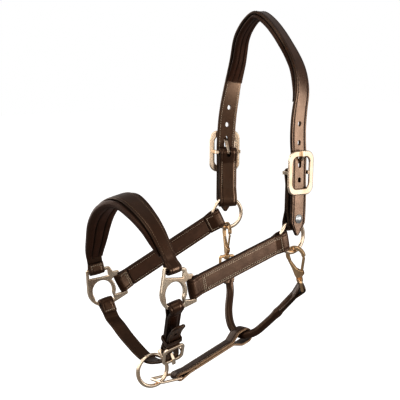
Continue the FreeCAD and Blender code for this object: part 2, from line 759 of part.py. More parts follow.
def snap_hook(side):
    """The cast hook: bend, solid arm and neck, slit for the gate, with its swivel stem."""
    frame = snap_frames[side]
    blank = new_body(side + "_snap_blank", frame)
    hook_edges = outline(
        (bend + wire, bend_z - 0.8), ((bend + 0.2, bend_z - 2.2), (bend - wire, bend_z - 0.8)),
        (bend - wire, bend_z), ((0, bend_z + bend - wire), (-bend + wire, bend_z)),
        (-bend + wire + 0.9, -14.0), (-1.9, -24.0), (2.0, -26.5), (7.4, -28.0), (7.6, -32.0),
        ((6.6, -34.2), (5.0, -35.4)), (3.6, -38.2), (-3.6, -38.2), (-5.4, -34.0), (-7.6, -24.0),
        (-11.3, -13.0), ((-11.9, -9.0), (-bend - wire, bend_z)),
        ((0, bend_z + bend + wire), (bend + wire, bend_z)))
    pad = add_pad(blank, hook_edges, "Sizes.snap_depth")
    round_all_edges(blank, pad, 0.9)
    add_pocket(blank, outline((8.6, -35.0), (8.6, -20.0), (0.2, -20.0), (0.2, -35.0)),
               "Sizes.gate_depth + 1.6")
    add_pocket(blank, circle(size("pin_radius"), *PIVOT), "Sizes.snap_depth + 2")
    stem = blank.newObject("PartDesign::Revolution", blank.Label + "_stem")
    stem_radius = size("swivel_radius")
    stem.Profile = add_sketch(blank, outline(
        (0, -37.5), (0, -45.0), (stem_radius + 1.0, -45.0), (stem_radius + 1.6, -43.4),
        (stem_radius, -43.4), (stem_radius, -37.5)))
    stem.ReferenceAxis = (stem.Profile[0], ["V_Axis"])
    stem.Angle = 360
    doc.recompute()
    keep(blank, side + "_snap_hook")


def snap_gate(side):
    gate = new_body(side + "_snap_gate", snap_frames[side])
    tip = (bend, bend_z - 3.0)
    lean = math.atan2(tip[0] - PIVOT[0], tip[1] - PIVOT[1])
    nx, nz = math.cos(lean) * 1.7, -math.sin(lean) * 1.7
    reach = (tip[0] - PIVOT[0], tip[1] - PIVOT[1])
    hub = 2.6
    angle = 90 - math.degrees(lean)
    edges = outline(
        (tip[0] + nx, tip[1] + nz), (tip[0] - nx, tip[1] - nz),
        (PIVOT[0] - nx + reach[0] * 0.12, PIVOT[1] - nz + reach[1] * 0.12),
        on_circle(hub, angle + 60, *PIVOT),
        (on_circle(hub, angle + 180, *PIVOT), on_circle(hub, angle - 60, *PIVOT)),
        (PIVOT[0] + nx + reach[0] * 0.12, PIVOT[1] + nz + reach[1] * 0.12))
    edges += circle(size("pin_radius") + 0.05, *PIVOT)
    add_pad(gate, edges, "Sizes.gate_depth")
    keep(gate)


def snap_eye(side):
    """The swivel eye: a cast loop whose top bar turns on the hook's stem."""
    eye = new_body(side + "_snap_eye", eye_frames[side])
    middle = (EYE_TOP + EYE_BAR) / 2
    tall = EYE_TOP - EYE_BAR
    outer = rounded_rectangle(25.0, tall + 3.8, 3.0)
    inner = rounded_rectangle(19.2, tall - 3.8, 1.6)
    sketch = add_sketch(eye, outer + inner)
    sketch.AttachmentOffset = Placement(Vector(0, middle, 0), Rotation())
    pad = eye.newObject("PartDesign::Pad", eye.Label + "_pad")
    pad.Profile = sketch
    pad.SideType = "Symmetric"
    pad.Length = 3.8
    doc.recompute()
    round_all_edges(eye, pad, 1.0)
    collar = eye.newObject("PartDesign::Pad", eye.Label + "_collar")
    collar.Profile = add_sketch(eye, circle(4.4), "XY_Plane", EYE_TOP)
    collar.SideType = "Symmetric"
    collar.Length = 4.0
    doc.recompute()
    add_pocket(eye, circle(size("swivel_radius") + 0.08), "24", "XY_Plane", EYE_TOP + 6)
    keep(eye)


for side in ("near", "far"):
    snap_hook(side)
    snap_gate(side)
    snap_eye(side)
    pivot_place = snap_frames[side].multiply(Placement(Vector(PIVOT[0], 0, PIVOT[1]), Rotation()))
    pin(side + "_gate_pin", pivot_place, "Sizes.pin_radius", size("snap_depth"))
    beside_gate = in_frame(pivot_place, 0, 1.2, 0)
    ring(side + "_gate_spring", beside_gate, direction_in(pivot_place, 0, 1, 0),
         "Sizes.spring_radius", "Sizes.spring_wire")


# ---------------------------------------------------------------- throat lash

def arc_tube(points, radius):
    """A round cord along straight runs joined by tangent arcs, each as large as its runs allow."""
    points = [Vector(*point) for point in points]
    edges = []
    last = points[0]
    for before, corner, after in zip(points, points[1:], points[2:]):
        into, out = (corner - before), (after - corner)
        shorter = min(into.Length, out.Length)
        into.normalize()
        out.normalize()
        turn = into.getAngle(out)
        trim = 0.45 * shorter
        start, end = corner - into * trim, corner + out * trim
        bend_radius = trim / math.tan(turn / 2)
        middle_way = (out - into).normalize()
        middle = corner + middle_way * (math.hypot(trim, bend_radius) - bend_radius)
        edges += [Part.LineSegment(last, start).toShape(), Part.Arc(start, middle, end).toShape()]
        last = end
    edges.append(Part.LineSegment(last, points[-1]).toShape())
    path = Part.Wire(edges)
    section = Part.Wire([Part.Circle(points[0], (points[1] - points[0]).normalize(), radius).toShape()])
    return path.makePipeShell([section], True, True)


lash_bars = {side: in_frame(eye_frames[side], 0, 0, EYE_BAR) for side in eye_frames}
lash_runs = {"near": Vector(-13, 12, -20), "far": Vector(2.8, -5, -34)}
TAB = 26.0
lash_ends = []
lash_roots = {}
for side in ("near", "far"):
    across = direction_in(eye_frames[side], 1, 0, 0)
    frame = local_frame(lash_bars[side], lash_runs[side], across)
    lash_ends.append(eye_end(frame, 2.9, 2.4, size("lash_tab_width"), TAB, TAB))
    lash_roots[side] = frame

lash_route = [
    tuple(in_frame(lash_roots["near"], 0, 0, TAB - 6)),
    tuple(in_frame(lash_roots["near"], 0, 0, TAB + 8)),
    (6, -33, -391), (-5, -21.5, -407), (-22, -8.5, -420.8), (-26.5, 9, -421.5),
    (-25, 26, -405), (-14.5, 41, -389),
    tuple(in_frame(lash_roots["far"], 0, 0, TAB + 8)),
    tuple(in_frame(lash_roots["far"], 0, 0, TAB - 6))]
lash_tube = arc_tube(lash_route, size("lash_radius"))
keep(plain_feature("throat_lash", lash_tube.fuse(lash_ends[0]).fuse(lash_ends[1])))


# ---------------------------------------------------------------- checks and export

doc.recompute()
for item in doc.Objects:
    if "Invalid" in item.State or "Error" in item.State:
        raise RuntimeError("failed object: " + item.Name)
for item in nodes:
    if item.Shape.isNull() or not item.Shape.isValid():
        raise RuntimeError("bad shape: " + item.Label)

os.makedirs("parts", exist_ok=True)
for item in nodes:
    item.Shape.exportStep("parts/%s.step" % item.Label)
print(len(nodes), "parts")
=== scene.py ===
import json
import math

import bpy
import bmesh
from mathutils import Matrix, Vector, noise

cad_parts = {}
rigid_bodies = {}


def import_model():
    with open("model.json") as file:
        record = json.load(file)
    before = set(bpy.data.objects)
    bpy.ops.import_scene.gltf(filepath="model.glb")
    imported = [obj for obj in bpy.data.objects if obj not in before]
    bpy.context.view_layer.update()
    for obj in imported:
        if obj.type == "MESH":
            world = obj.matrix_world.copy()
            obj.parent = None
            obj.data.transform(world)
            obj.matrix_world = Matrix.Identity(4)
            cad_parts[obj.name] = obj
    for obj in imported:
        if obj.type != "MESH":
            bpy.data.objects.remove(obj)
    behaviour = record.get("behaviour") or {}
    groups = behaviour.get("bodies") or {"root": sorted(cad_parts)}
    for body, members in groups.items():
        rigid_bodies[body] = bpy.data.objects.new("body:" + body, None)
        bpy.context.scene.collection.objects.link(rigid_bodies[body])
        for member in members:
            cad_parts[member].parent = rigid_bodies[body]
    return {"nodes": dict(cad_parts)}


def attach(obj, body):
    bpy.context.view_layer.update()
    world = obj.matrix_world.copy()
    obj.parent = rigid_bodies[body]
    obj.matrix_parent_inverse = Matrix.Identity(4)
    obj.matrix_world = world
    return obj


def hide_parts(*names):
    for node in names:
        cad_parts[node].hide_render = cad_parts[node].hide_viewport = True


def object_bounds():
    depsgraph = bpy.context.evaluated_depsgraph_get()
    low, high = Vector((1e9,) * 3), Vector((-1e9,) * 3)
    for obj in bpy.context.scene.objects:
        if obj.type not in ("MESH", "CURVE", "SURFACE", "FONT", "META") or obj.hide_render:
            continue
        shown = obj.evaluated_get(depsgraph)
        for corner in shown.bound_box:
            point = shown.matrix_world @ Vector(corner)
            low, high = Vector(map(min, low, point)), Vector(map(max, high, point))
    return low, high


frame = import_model()
cad_low, cad_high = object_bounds()

MM = 0.001
Z_UP = Vector((0, 0, 1))


# ---------------------------------------------------------------- camera

camera_back = Vector((-0.5665, -0.8091, 0.1564)).normalized()
camera_right = Z_UP.cross(camera_back).normalized()
camera_up = camera_back.cross(camera_right)
camera_data = bpy.data.cameras.new("camera")
camera_data.lens = 90
camera_data.sensor_width = 36
camera_data.clip_start = 0.05
camera = bpy.data.objects.new("camera", camera_data)
bpy.context.scene.collection.objects.link(camera)
camera.matrix_world = Matrix.Translation((-0.8193, -1.0387, -0.029)) @ Matrix(
    (camera_right, camera_up, camera_back)).transposed().to_4x4()
bpy.context.scene.camera = camera


# ---------------------------------------------------------------- materials

def new_material(name):
    material = bpy.data.materials.new(name)
    material.use_nodes = True
    tree = material.node_tree
    return material, tree, tree.nodes["Principled BSDF"]


def texture(tree, kind, coordinates, scale, **inputs):
    node = tree.nodes.new(kind)
    tree.links.new(coordinates, node.inputs["Vector"])
    node.inputs["Scale"].default_value = scale
    for key, value in inputs.items():
        node.inputs[key].default_value = value
    return node


def ramp(tree, value, low, high, to_low=0.0, to_high=1.0):
    node = tree.nodes.new("ShaderNodeMapRange")
    tree.links.new(value, node.inputs["Value"])
    node.inputs["From Min"].default_value = low
    node.inputs["From Max"].default_value = high
    node.inputs["To Min"].default_value = to_low
    node.inputs["To Max"].default_value = to_high
    return node.outputs["Result"]


def mix(tree, factor, first, second):
    """A colour mix; first and second are colours or sockets."""
    node = tree.nodes.new("ShaderNodeMix")
    node.data_type = "RGBA"
    tree.links.new(factor, node.inputs["Factor"])
    for key, value in (("A", first), ("B", second)):
        socket = [s for s in node.inputs if s.name == key and s.type == "RGBA"][0]
        if isinstance(value, tuple):
            socket.default_value = (*value, 1)
        else:
            tree.links.new(value, socket)
    return [s for s in node.outputs if s.type == "RGBA"][0]


def product(tree, first, second):
    node = tree.nodes.new("ShaderNodeMath")
    node.operation = "MULTIPLY"
    tree.links.new(first, node.inputs[0])
    tree.links.new(second, node.inputs[1])
    return node.outputs[0]


def bump(tree, height, strength, distance, under=None):
    node = tree.nodes.new("ShaderNodeBump")
    tree.links.new(height, node.inputs["Height"])
    node.inputs["Strength"].default_value = strength
    node.inputs["Distance"].default_value = distance
    if under:
        tree.links.new(under, node.inputs["Normal"])
    return node.outputs["Normal"]


def leather(name, base, light, edge, roughness, grain=900, relief=0.35, specular=0.5, coat=0.0):
    """Grained leather: mottled colour, pores, fine creases, burnished edges with rubbed spots, and painted
    shade in marked recesses.
    """
    material, tree, shader = new_material(name)
    place = tree.nodes.new("ShaderNodeTexCoord").outputs["Object"]
    edge_and_recess_mark = tree.nodes.new("ShaderNodeAttribute")
    edge_and_recess_mark.attribute_name = "edge"
    mottle = texture(tree, "ShaderNodeTexNoise", place, 55, Detail=5, Roughness=0.6).outputs["Fac"]
    cells = texture(tree, "ShaderNodeTexVoronoi", place, grain).outputs["Distance"]
    pores = texture(tree, "ShaderNodeTexNoise", place, 2600, Detail=2).outputs["Fac"]
    creases = texture(tree, "ShaderNodeTexNoise", place, 210, Detail=6, Distortion=1.4).outputs["Fac"]
    rubbed = ramp(tree, texture(tree, "ShaderNodeTexNoise", place, 120, Detail=4).outputs["Fac"], 0.53, 0.68)
    colour = mix(tree, ramp(tree, mottle, 0.35, 0.7), base, light)
    colour = mix(tree, ramp(tree, cells, 0.0, 0.42, 0.35, 0.0), colour, tuple(c * 0.45 for c in base))
    # Mixes towards the edge colour where the edge mark is set: the edge's own dye on rounded edges and cut
    # ends, and painted shade in edge creases, stitch channels, pad grooves and along a strap's edge on its
    # pad.
    colour = mix(tree, ramp(tree, edge_and_recess_mark.outputs["Fac"], 0.0, 1.0, 0.0, 0.8), colour, edge)
    colour = mix(tree, product(tree, ramp(tree, edge_and_recess_mark.outputs["Fac"], 0.5, 1.0, 0.0, 0.5), rubbed),
                 colour, tuple(min(1.0, c * 2.4) for c in light))
    tree.links.new(colour, shader.inputs["Base Color"])
    tree.links.new(ramp(tree, mottle, 0.3, 0.7, roughness + 0.07, roughness - 0.06),
                   shader.inputs["Roughness"])
    shader.inputs["Specular IOR Level"].default_value = specular
    shader.inputs["Specular Tint"].default_value = (1.0, 0.66, 0.44, 1)
    shader.inputs["Coat Tint"].default_value = (1.0, 0.85, 0.7, 1)
    shader.inputs["Coat Weight"].default_value = coat
    shader.inputs["Coat Roughness"].default_value = 0.3
    normal = bump(tree, creases, relief * 0.6, 0.0004)
    normal = bump(tree, cells, relief, 0.00022, normal)
    normal = bump(tree, pores, relief * 0.3, 0.0001, normal)
    tree.links.new(normal, shader.inputs["Normal"])
    return material


def metal(name, base, tarnish, roughness):
    """Polished cast metal: faint waviness, hairline scratches and duller patches."""
    material, tree, shader = new_material(name)
    place = tree.nodes.new("ShaderNodeTexCoord").outputs["Object"]
    stretch = tree.nodes.new("ShaderNodeMapping")
    stretch.inputs["Scale"].default_value = (1, 1, 0.12)
    stretch.inputs["Rotation"].default_value = (0.5, 0.3, 0.2)
    tree.links.new(place, stretch.inputs["Vector"])
    patches = texture(tree, "ShaderNodeTexNoise", place, 90, Detail=4).outputs["Fac"]
    scratches = texture(tree, "ShaderNodeTexNoise", stretch.outputs["Vector"], 2400, Detail=3).outputs["Fac"]
    waves = texture(tree, "ShaderNodeTexNoise", place, 160, Detail=1).outputs["Fac"]
    colour = mix(tree, ramp(tree, patches, 0.42, 0.72, 0.0, 0.7), base, tarnish)
    tree.links.new(colour, shader.inputs["Base Color"])
    shader.inputs["Metallic"].default_value = 1.0
    tree.links.new(ramp(tree, scratches, 0.3, 0.7, roughness - 0.05, roughness + 0.08),
                   shader.inputs["Roughness"])
    softened = tree.nodes.new("ShaderNodeBevel")
    softened.samples = 8
    softened.inputs["Radius"].default_value = 0.0008
    normal = bump(tree, waves, 0.012, 0.0006, softened.outputs["Normal"])
    tree.links.new(normal, shader.inputs["Normal"])
    return material


def thread(name, base, dark):
    """Waxed linen thread with a fine twist."""
    material, tree, shader = new_material(name)
    place = tree.nodes.new("ShaderNodeTexCoord").outputs["Object"]
    twist = texture(tree, "ShaderNodeTexNoise", place, 3200, Detail=2).outputs["Fac"]
    soil = texture(tree, "ShaderNodeTexNoise", place, 90, Detail=3).outputs["Fac"]
    colour = mix(tree, ramp(tree, soil, 0.35, 0.65, 0.0, 0.6), base, dark)
    colour = mix(tree, ramp(tree, twist, 0.4, 0.6, 0.5, 0.0), colour, dark)
    tree.links.new(colour, shader.inputs["Base Color"])
    shader.inputs["Roughness"].default_value = 0.6
    tree.links.new(bump(tree, twist, 0.5, 0.0002), shader.inputs["Normal"])
    return material


# Each leather's third colour is its edge colour: the own dye of rounded edges and cut ends, and painted shade
# in creases, stitch channels, pad grooves and under a strap's edge on its pad.
strap_leather = leather("strap_leather", (0.024, 0.0085, 0.0036), (0.046, 0.0175, 0.0078),
                        (0.012, 0.005, 0.003), 0.32, relief=0.2, specular=0.8, coat=0.0)
cheek_leather = leather("cheek_leather", (0.032, 0.012, 0.0053), (0.058, 0.023, 0.0105),
                        (0.03, 0.014, 0.008), 0.42, relief=0.22, specular=0.5)
# Light tan edge colour: partly the raw edge's own tone, partly a painted highlight along the edges and stitch
# channels.
raw_edge_and_highlight_leather = leather("raw_edge_and_highlight_leather", (0.024, 0.0085, 0.0036), (0.046, 0.0175, 0.0078),
                           (0.36, 0.24, 0.15), 0.36, relief=0.22, specular=0.5)
lining_leather = leather("lining_leather", (0.034, 0.0115, 0.0055), (0.058, 0.021, 0.011),
                         (0.01, 0.0045, 0.003), 0.46, grain=1200, relief=0.25, specular=0.4)
pad_leather = leather("pad_leather", (0.032, 0.0105, 0.005), (0.056, 0.019, 0.0095),
                      (0.005, 0.0025, 0.002), 0.38, grain=1100, relief=0.25, specular=0.5)
brass = metal("polished_brass", (0.98, 0.81, 0.63), (0.9, 0.64, 0.44), 0.2)
brass_dark = metal("snap_brass", (0.82, 0.57, 0.34), (0.6, 0.37, 0.19), 0.2)
steel = metal("stud_steel", (0.95, 0.95, 0.94), (0.8, 0.8, 0.78), 0.3)
pale_thread = thread("pale_thread", (0.72, 0.62, 0.48), (0.4, 0.3, 0.2))
brown_thread = thread("brown_thread", (0.34, 0.22, 0.13), (0.18, 0.11, 0.065))
dark_thread = thread("dark_thread", (0.014, 0.009, 0.007), (0.008, 0.005, 0.004))


# ---------------------------------------------------------------- places and curves

class Place:
    """A local frame in millimetres: X across, Y outward, Z along the run."""

    def __init__(self, origin, x, y, z):
        self.origin, self.x, self.y, self.z = Vector(origin), x, y, z

    def point(self, x, y, z):
        return self.origin + self.x * x + self.y * y + self.z * z

    def turned(self, degrees):
        turn = Matrix.Rotation(math.radians(degrees), 3, self.z)
        return Place(self.origin, turn @ self.x, turn @ self.y, self.z)

    def moved(self, x, y, z):
        return Place(self.point(x, y, z), self.x, self.y, self.z)


def local_frame(origin, run, across):
    z = Vector(run).normalized()
    x = (Vector(across) - z * z.dot(Vector(across))).normalized()
    return Place(origin, x, z.cross(x), z)


def yawed(degrees):
    angle = math.radians(degrees)
    return Vector((math.cos(angle), math.sin(angle), 0))


class Curve:
    """A natural cubic spline through points, by chord length; read by fraction."""

    def __init__(self, points):
        self.points = [Vector(p) for p in points]
        self.knots = [0.0]
        for a, b in zip(self.points, self.points[1:]):
            self.knots.append(self.knots[-1] + (b - a).length)
        n = len(self.points)
        gaps = [b - a for a, b in zip(self.knots, self.knots[1:])]
        lower, diagonal, upper = [0.0] * n, [1.0] * n, [0.0] * n
        right = [Vector() for _ in range(n)]
        for i in range(1, n - 1):
            lower[i], upper[i] = gaps[i - 1], gaps[i]
            diagonal[i] = 2 * (gaps[i - 1] + gaps[i])
            right[i] = 6 * ((self.points[i + 1] - self.points[i]) / gaps[i]
                            - (self.points[i] - self.points[i - 1]) / gaps[i - 1])
        for i in range(1, n):
            factor = lower[i] / diagonal[i - 1]
            diagonal[i] -= factor * upper[i - 1]
            right[i] = right[i] - right[i - 1] * factor
        self.second = [Vector() for _ in range(n)]
        for i in range(n - 2, 0, -1):
            self.second[i] = (right[i] - self.second[i + 1] * upper[i]) / diagonal[i]

    def value(self, fraction):
        at = min(max(fraction, 0.0), 1.0) * self.knots[-1]
        i = 0
        while i < len(self.knots) - 2 and self.knots[i + 1] < at:
            i += 1
        gap = self.knots[i + 1] - self.knots[i]
        b = (at - self.knots[i]) / gap
        a = 1 - b
        bend = (self.second[i] * (a ** 3 - a) + self.second[i + 1] * (b ** 3 - b)) * gap * gap / 6
        return self.points[i] * a + self.points[i + 1] * b + bend

    def along(self, fraction):
        return (self.value(min(fraction + 0.002, 1)) - self.value(max(fraction - 0.002, 0))).normalized()


def band_line(curve, yaws, span=(0.0, 1.0), offset=0.0, count=160):
    """(centre, outward) pairs of a twisting band along a curve."""
    line = []
    for step in range(count + 1):
        fraction = span[0] + (span[1] - span[0]) * step / count
        along = curve.along(fraction)
        spot = fraction * (len(yaws) - 1)
        index = min(int(spot), len(yaws) - 2)
        across = yaws[index] * (1 - spot + index) + yaws[index + 1] * (spot - index)
        across = (across - along * along.dot(across)).normalized()
        outward = across.cross(along)
        line.append((curve.value(fraction) + outward * offset, outward))
    return line


def eye_half(radius, thickness, slack, lead):
    """Centre line of half an eye in (outward, run), from its far end to where the leg starts."""
    middle = radius + thickness / 2
    reach = math.hypot(thickness / 2, lead)
    end = math.atan2(lead, thickness / 2) - math.acos(middle / reach)
    points = [(middle * math.sin(math.pi / 2 * k / 8), -slack - middle * math.cos(math.pi / 2 * k / 8))
              for k in range(9)]
    points += [(middle * math.cos(end * k / 4), middle * math.sin(end * k / 4)) for k in range(5)]
    return points + [(thickness / 2, lead)]


def fold_line(place, radius, thickness, slack, turn_back, leg, lead=13.0):
    """A strap end: from the turned-back end round the eye to the outer leg."""
    half = eye_half(radius, thickness, slack, lead)
    flat = [(-thickness / 2, turn_back)] + [(-y, z) for y, z in reversed(half)] + half
    flat.append((thickness / 2, leg))
    return lay_flat(place, flat)


def doubled_line(place, length, thickness, start, end, turn_start, turn_end, lead=15.0):
    """A strap folded at both ends, from one turned-back end to the other."""
    first = eye_half(start[0], thickness, start[1], lead)
    last = [(y, length - z) for y, z in eye_half(end[0], thickness, end[1], lead)]
    flat = [(-thickness / 2, turn_start)] + [(-y, z) for y, z in reversed(first)] + first
    flat += list(reversed(last)) + [(-y, z) for y, z in last] + [(-thickness / 2, length - turn_end)]
    return lay_flat(place, flat)


def lay_flat(place, flat):
    line = []
    clean = [flat[0]]
    for point in flat[1:]:
        if math.dist(point, clean[-1]) > 0.01:
            clean.append(point)
    for index, (y, z) in enumerate(clean):
        before = clean[max(index - 1, 0)]
        after = clean[min(index + 1, len(clean) - 1)]
        dy, dz = after[0] - before[0], after[1] - before[1]
        line.append((place.point(0, y, z), (place.y * dz - place.z * dy).normalized()))
    return line


def backwards(line):
    return list(reversed(line))


class Run:
    """A strap's line resampled by length, with its full local directions."""

    def __init__(self, line):
        self.line = [line[0]]
        for item in line[1:]:
            if (item[0] - self.line[-1][0]).length > 0.02:
                self.line.append(item)
        self.at = [0.0]
        for a, b in zip(self.line, self.line[1:]):
            self.at.append(self.at[-1] + (b[0] - a[0]).length)
        self.length = self.at[-1]

    def spot(self, distance):
        distance = min(max(distance, 0.0), self.length)
        low, high = 0, len(self.at) - 2
        while low < high:
            middle = (low + high + 1) // 2
            if self.at[middle] <= distance:
                low = middle
            else:
                high = middle - 1
        share = (distance - self.at[low]) / (self.at[low + 1] - self.at[low])
        a, b = self.line[low], self.line[low + 1]
        return a[0].lerp(b[0], share), a[1].lerp(b[1], share).normalized()

    def station(self, distance):
        centre, outward = self.spot(distance)
        before, after = self.spot(distance - 0.6)[0], self.spot(distance + 0.6)[0]
        along = (after - before).normalized()
        outward = (outward - along * along.dot(outward)).normalized()
        return centre, along.cross(outward), outward, along


# ---------------------------------------------------------------- meshes

def finish_piece(name, mesh, body, material, nodes=(), crisp=42):
    mesh.shade_smooth()
    mesh.set_sharp_from_angle(angle=math.radians(crisp))
    piece = bpy.data.objects.new(name, mesh)
    bpy.context.scene.collection.objects.link(piece)
    mesh.materials.append(material)
    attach(piece, body)
    if nodes:
        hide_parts(*nodes)
    return piece


def strap_section(half_width, half_depth, crown=0.35, creased=True):
    """Right and left halves of a strap's section: rounded edges, edge crease, stitch channel."""
    a, b = half_width, half_depth
    r = min(b * 0.85, 1.25)
    shrink = min(1.0, a / 9.0)
    face = []
    # The third number of each step is the edge mark: the marks at and round the rounded edge are its own dye;
    # 0.4 in the edge crease and 0.85 in the stitch channel are painted shade in these recesses.
    steps = ((r, 0.0, 0.6), (1.45, 0.0, 0.25), (1.8, -0.12, 0.4), (2.15, 0.0, 0.1), (2.8, 0.0, 0.0),
             (3.3, -0.42, 0.85), (3.8, 0.0, 0.0), (6.0, 0.0, 0.0))
    for inset, sink, mark in steps:
        u = a - inset * shrink
        face.append((u, b + (sink if creased else 0) + crown * (1 - (u / a) ** 2), mark))
    half = [(0, b + crown, 0.0)] + list(reversed(face))
    for k in (1, 2, 3):
        angle = math.radians(90 - 30 * k)
        half.append((a - r * shrink * (1 - math.cos(angle)), b - r + r * math.sin(angle), 1.0))
    for k in (0, 1, 2, 3):
        angle = math.radians(-30 * k)
        half.append((a - r * shrink * (1 - math.cos(angle)), -b + r + r * math.sin(angle), 1.0))
    half += [(a * 0.7, -b, 0.1), (a * 0.35, -b, 0.0)]
    bottom = (0, -b, 0.0)
    return half + [bottom] + [(-u, v, mark) for u, v, mark in reversed(half[1:])]


def smooth_loop(points, divide=4):
    """Closed Catmull-Rom through section points."""
    result = []
    count = len(points)
    for i in range(count):
        p = [points[(i + k - 1) % count] for k in range(4)]
        for step in range(divide):
            t = step / divide
            weights = (-0.5 * t + t * t - 0.5 * t ** 3, 1 - 2.5 * t * t + 1.5 * t ** 3,
                       0.5 * t + 2 * t * t - 1.5 * t ** 3, -0.5 * t * t + 0.5 * t ** 3)
            result.append(tuple(sum(w * q[axis] for w, q in zip(weights, p)) for axis in range(3)))
    return result


def face_outward(mesh):
    whole = bmesh.new()
    whole.from_mesh(mesh)
    bmesh.ops.recalc_face_normals(whole, faces=whole.faces)
    whole.to_mesh(mesh)
    whole.free()


def sweep_mesh(name, run, section_at, step=2.0, ends=True):
    """Skins the sections along a run. section_at(distance) gives (u, v, mark) points."""
    marks = [0.0]
    if ends:
        marks += [0.3, 0.8]
    steps = max(2, int((run.length - 2.0) / step))
    marks += [1.2 + (run.length - 2.4) * k / steps for k in range(steps + 1)]
    if ends:
        marks += [run.length - 0.8, run.length - 0.3]
    marks.append(run.length)
    mesh_points, edge_and_recess_marks, rows = [], [], []
    for distance in marks:
        centre, across, outward, _ = run.station(distance)
        near_end = min(distance, run.length - distance)
        squeeze = 1.0
        if ends and near_end <= 1:
            squeeze = 0.62 + 0.38 * math.sqrt(max(0, 1 - (1 - near_end) ** 2))
        row = []
        for u, v, mark in section_at(distance):
            row.append(len(mesh_points))
            mesh_points.append((centre + across * u * (1 - (1 - squeeze) * 0.15)
                                + outward * v * squeeze) * MM)
            edge_and_recess_marks.append(max(mark, 1 - near_end) if ends and near_end < 1 else mark)
        rows.append(row)
    faces = []
    for a, b in zip(rows, rows[1:]):
        for i in range(len(a)):
            j = (i + 1) % len(a)
            faces.append((a[i], a[j], b[j], b[i]))
    faces.append(tuple(reversed(rows[0])))
    faces.append(tuple(rows[-1]))
    mesh = bpy.data.meshes.new(name)
    mesh.from_pydata(mesh_points, [], faces)
    # The edge attribute carries each point's mark, which the leather shader turns into edge dye and into
    # painted shade in recesses.
    attribute = mesh.attributes.new("edge", "FLOAT", "POINT")
    attribute.data.foreach_set("value", edge_and_recess_marks)
    face_outward(mesh)
    return mesh


def strap(name, line, body, width, thickness, nodes=(), material=None, cuts=(),
          crown=0.35, step=2.0, creased=True):
    """width is a number or a function of the distance along the line."""
    run = Run(line)
    width_at = width if callable(width) else lambda _: width
    mesh = sweep_mesh(
        name, run, lambda d: strap_section(width_at(d) / 2, thickness / 2 - 0.06, crown, creased), step)
    piece = finish_piece(name, mesh, body, material or strap_leather, nodes)
    punch(piece, cuts)
    return piece, run


def punch(piece, cuts):
    """Cuts each plug out of a piece and keeps its shading."""
    if not cuts:
        return
    cutter = bpy.data.objects.new("cutter", join_meshes(cuts))
    bpy.context.scene.collection.objects.link(cutter)
    modifier = piece.modifiers.new("cut", "BOOLEAN")
    modifier.object = cutter
    modifier.solver = "EXACT"
    bpy.context.view_layer.update()
    cut = bpy.data.meshes.new_from_object(piece.evaluated_get(bpy.context.evaluated_depsgraph_get()))
    piece.modifiers.clear()
    piece.data = cut
    bpy.data.objects.remove(cutter)
    cut.shade_smooth()
    cut.set_sharp_from_angle(angle=math.radians(42))


def join_meshes(shapes):
    points, faces = [], []
    for shape_points, shape_faces in shapes:
        base = len(points)
        points += shape_points
        faces += [tuple(base + i for i in face) for face in shape_faces]
    mesh = bpy.data.meshes.new("joined")
    mesh.from_pydata(points, [], faces)
    face_outward(mesh)
    return mesh


def oval_plug(centre, across, outward, along, width, length, depth=14.0):
    """A prism with round ends, the plug of a punched hole."""
    ring = []
    straight = max(0.0, (length - width) / 2)
    for k in range(24):
        angle = 2 * math.pi * (k + 0.5) / 24
        u = width / 2 * math.cos(angle)
        w = width / 2 * math.sin(angle) + math.copysign(straight, math.sin(angle))
        ring.append(across * u + along * w)
    points = [(centre + p + outward * depth / 2) * MM for p in ring]
    points += [(centre + p - outward * depth / 2) * MM for p in ring]
    faces = [(k, (k + 1) % 24, 24 + (k + 1) % 24, 24 + k) for k in range(24)]
    return points, [tuple(reversed(f)) for f in faces] + [tuple(range(24)), tuple(reversed(range(24, 48)))]


def stitch_rows(name, run, body, rows, start, end, material, pitch=3.1, long=2.3, thick=0.36, lean=8.0):
    """Rows of single stitches on a run. rows gives (u, v) as functions of the distance."""
    points, faces = [], []
    count = int((end - start) / pitch)
    slant = math.radians(lean)
    for u_at, v_at in rows:
        for k in range(count + 1):
            distance = start + (end - start) * (k + 0.5) / (count + 1)
            centre, across, outward, along = run.station(distance)
            middle = centre + across * u_at(distance) + outward * v_at(distance)
            line = along * math.cos(slant) + across * math.sin(slant)
            side = line.cross(outward)
            base = len(points)
            for offset, size, sink in ((-0.5, 0.35, -0.22), (-0.3, 0.9, 0.0), (0, 1.0, 0.06), (0.3, 0.9, 0.0),
                                       (0.5, 0.35, -0.22)):
                for j in range(6):
                    angle = math.pi * j / 3
                    points.append((middle + line * long * offset + side * thick * size * math.cos(angle)
                                   + outward * (thick * size * math.sin(angle) * 0.8 + sink)) * MM)
            for ring in range(4):
                for j in range(6):
                    a, b = base + ring * 6 + j, base + ring * 6 + (j + 1) % 6
                    faces.append((a, b, b + 6, a + 6))
            faces.append(tuple(base + j for j in reversed(range(6))))
            faces.append(tuple(base + 24 + j for j in range(6)))
    mesh = bpy.data.meshes.new(name)
    mesh.from_pydata(points, [], faces)
    return finish_piece(name, mesh, body, material, crisp=80)


def edge_rows(width, thickness, inset=3.3, crown=0.35, inner=False):
    """Both edges' stitch rows; inner puts them on the inner face."""
    width_at = width if callable(width) else lambda _: width

    def row(sign):
        def across(distance):
            return sign * (width_at(distance) / 2 - inset)

        def height(distance):
            if inner:
                return -thickness / 2 + 0.02
            half = width_at(distance) / 2
            return thickness / 2 + crown * (1 - ((half - inset) / half) ** 2) - 0.14
        return across, height
    return [row(-1), row(1)]


# ---------------------------------------------------------------- where things are, in millimetres

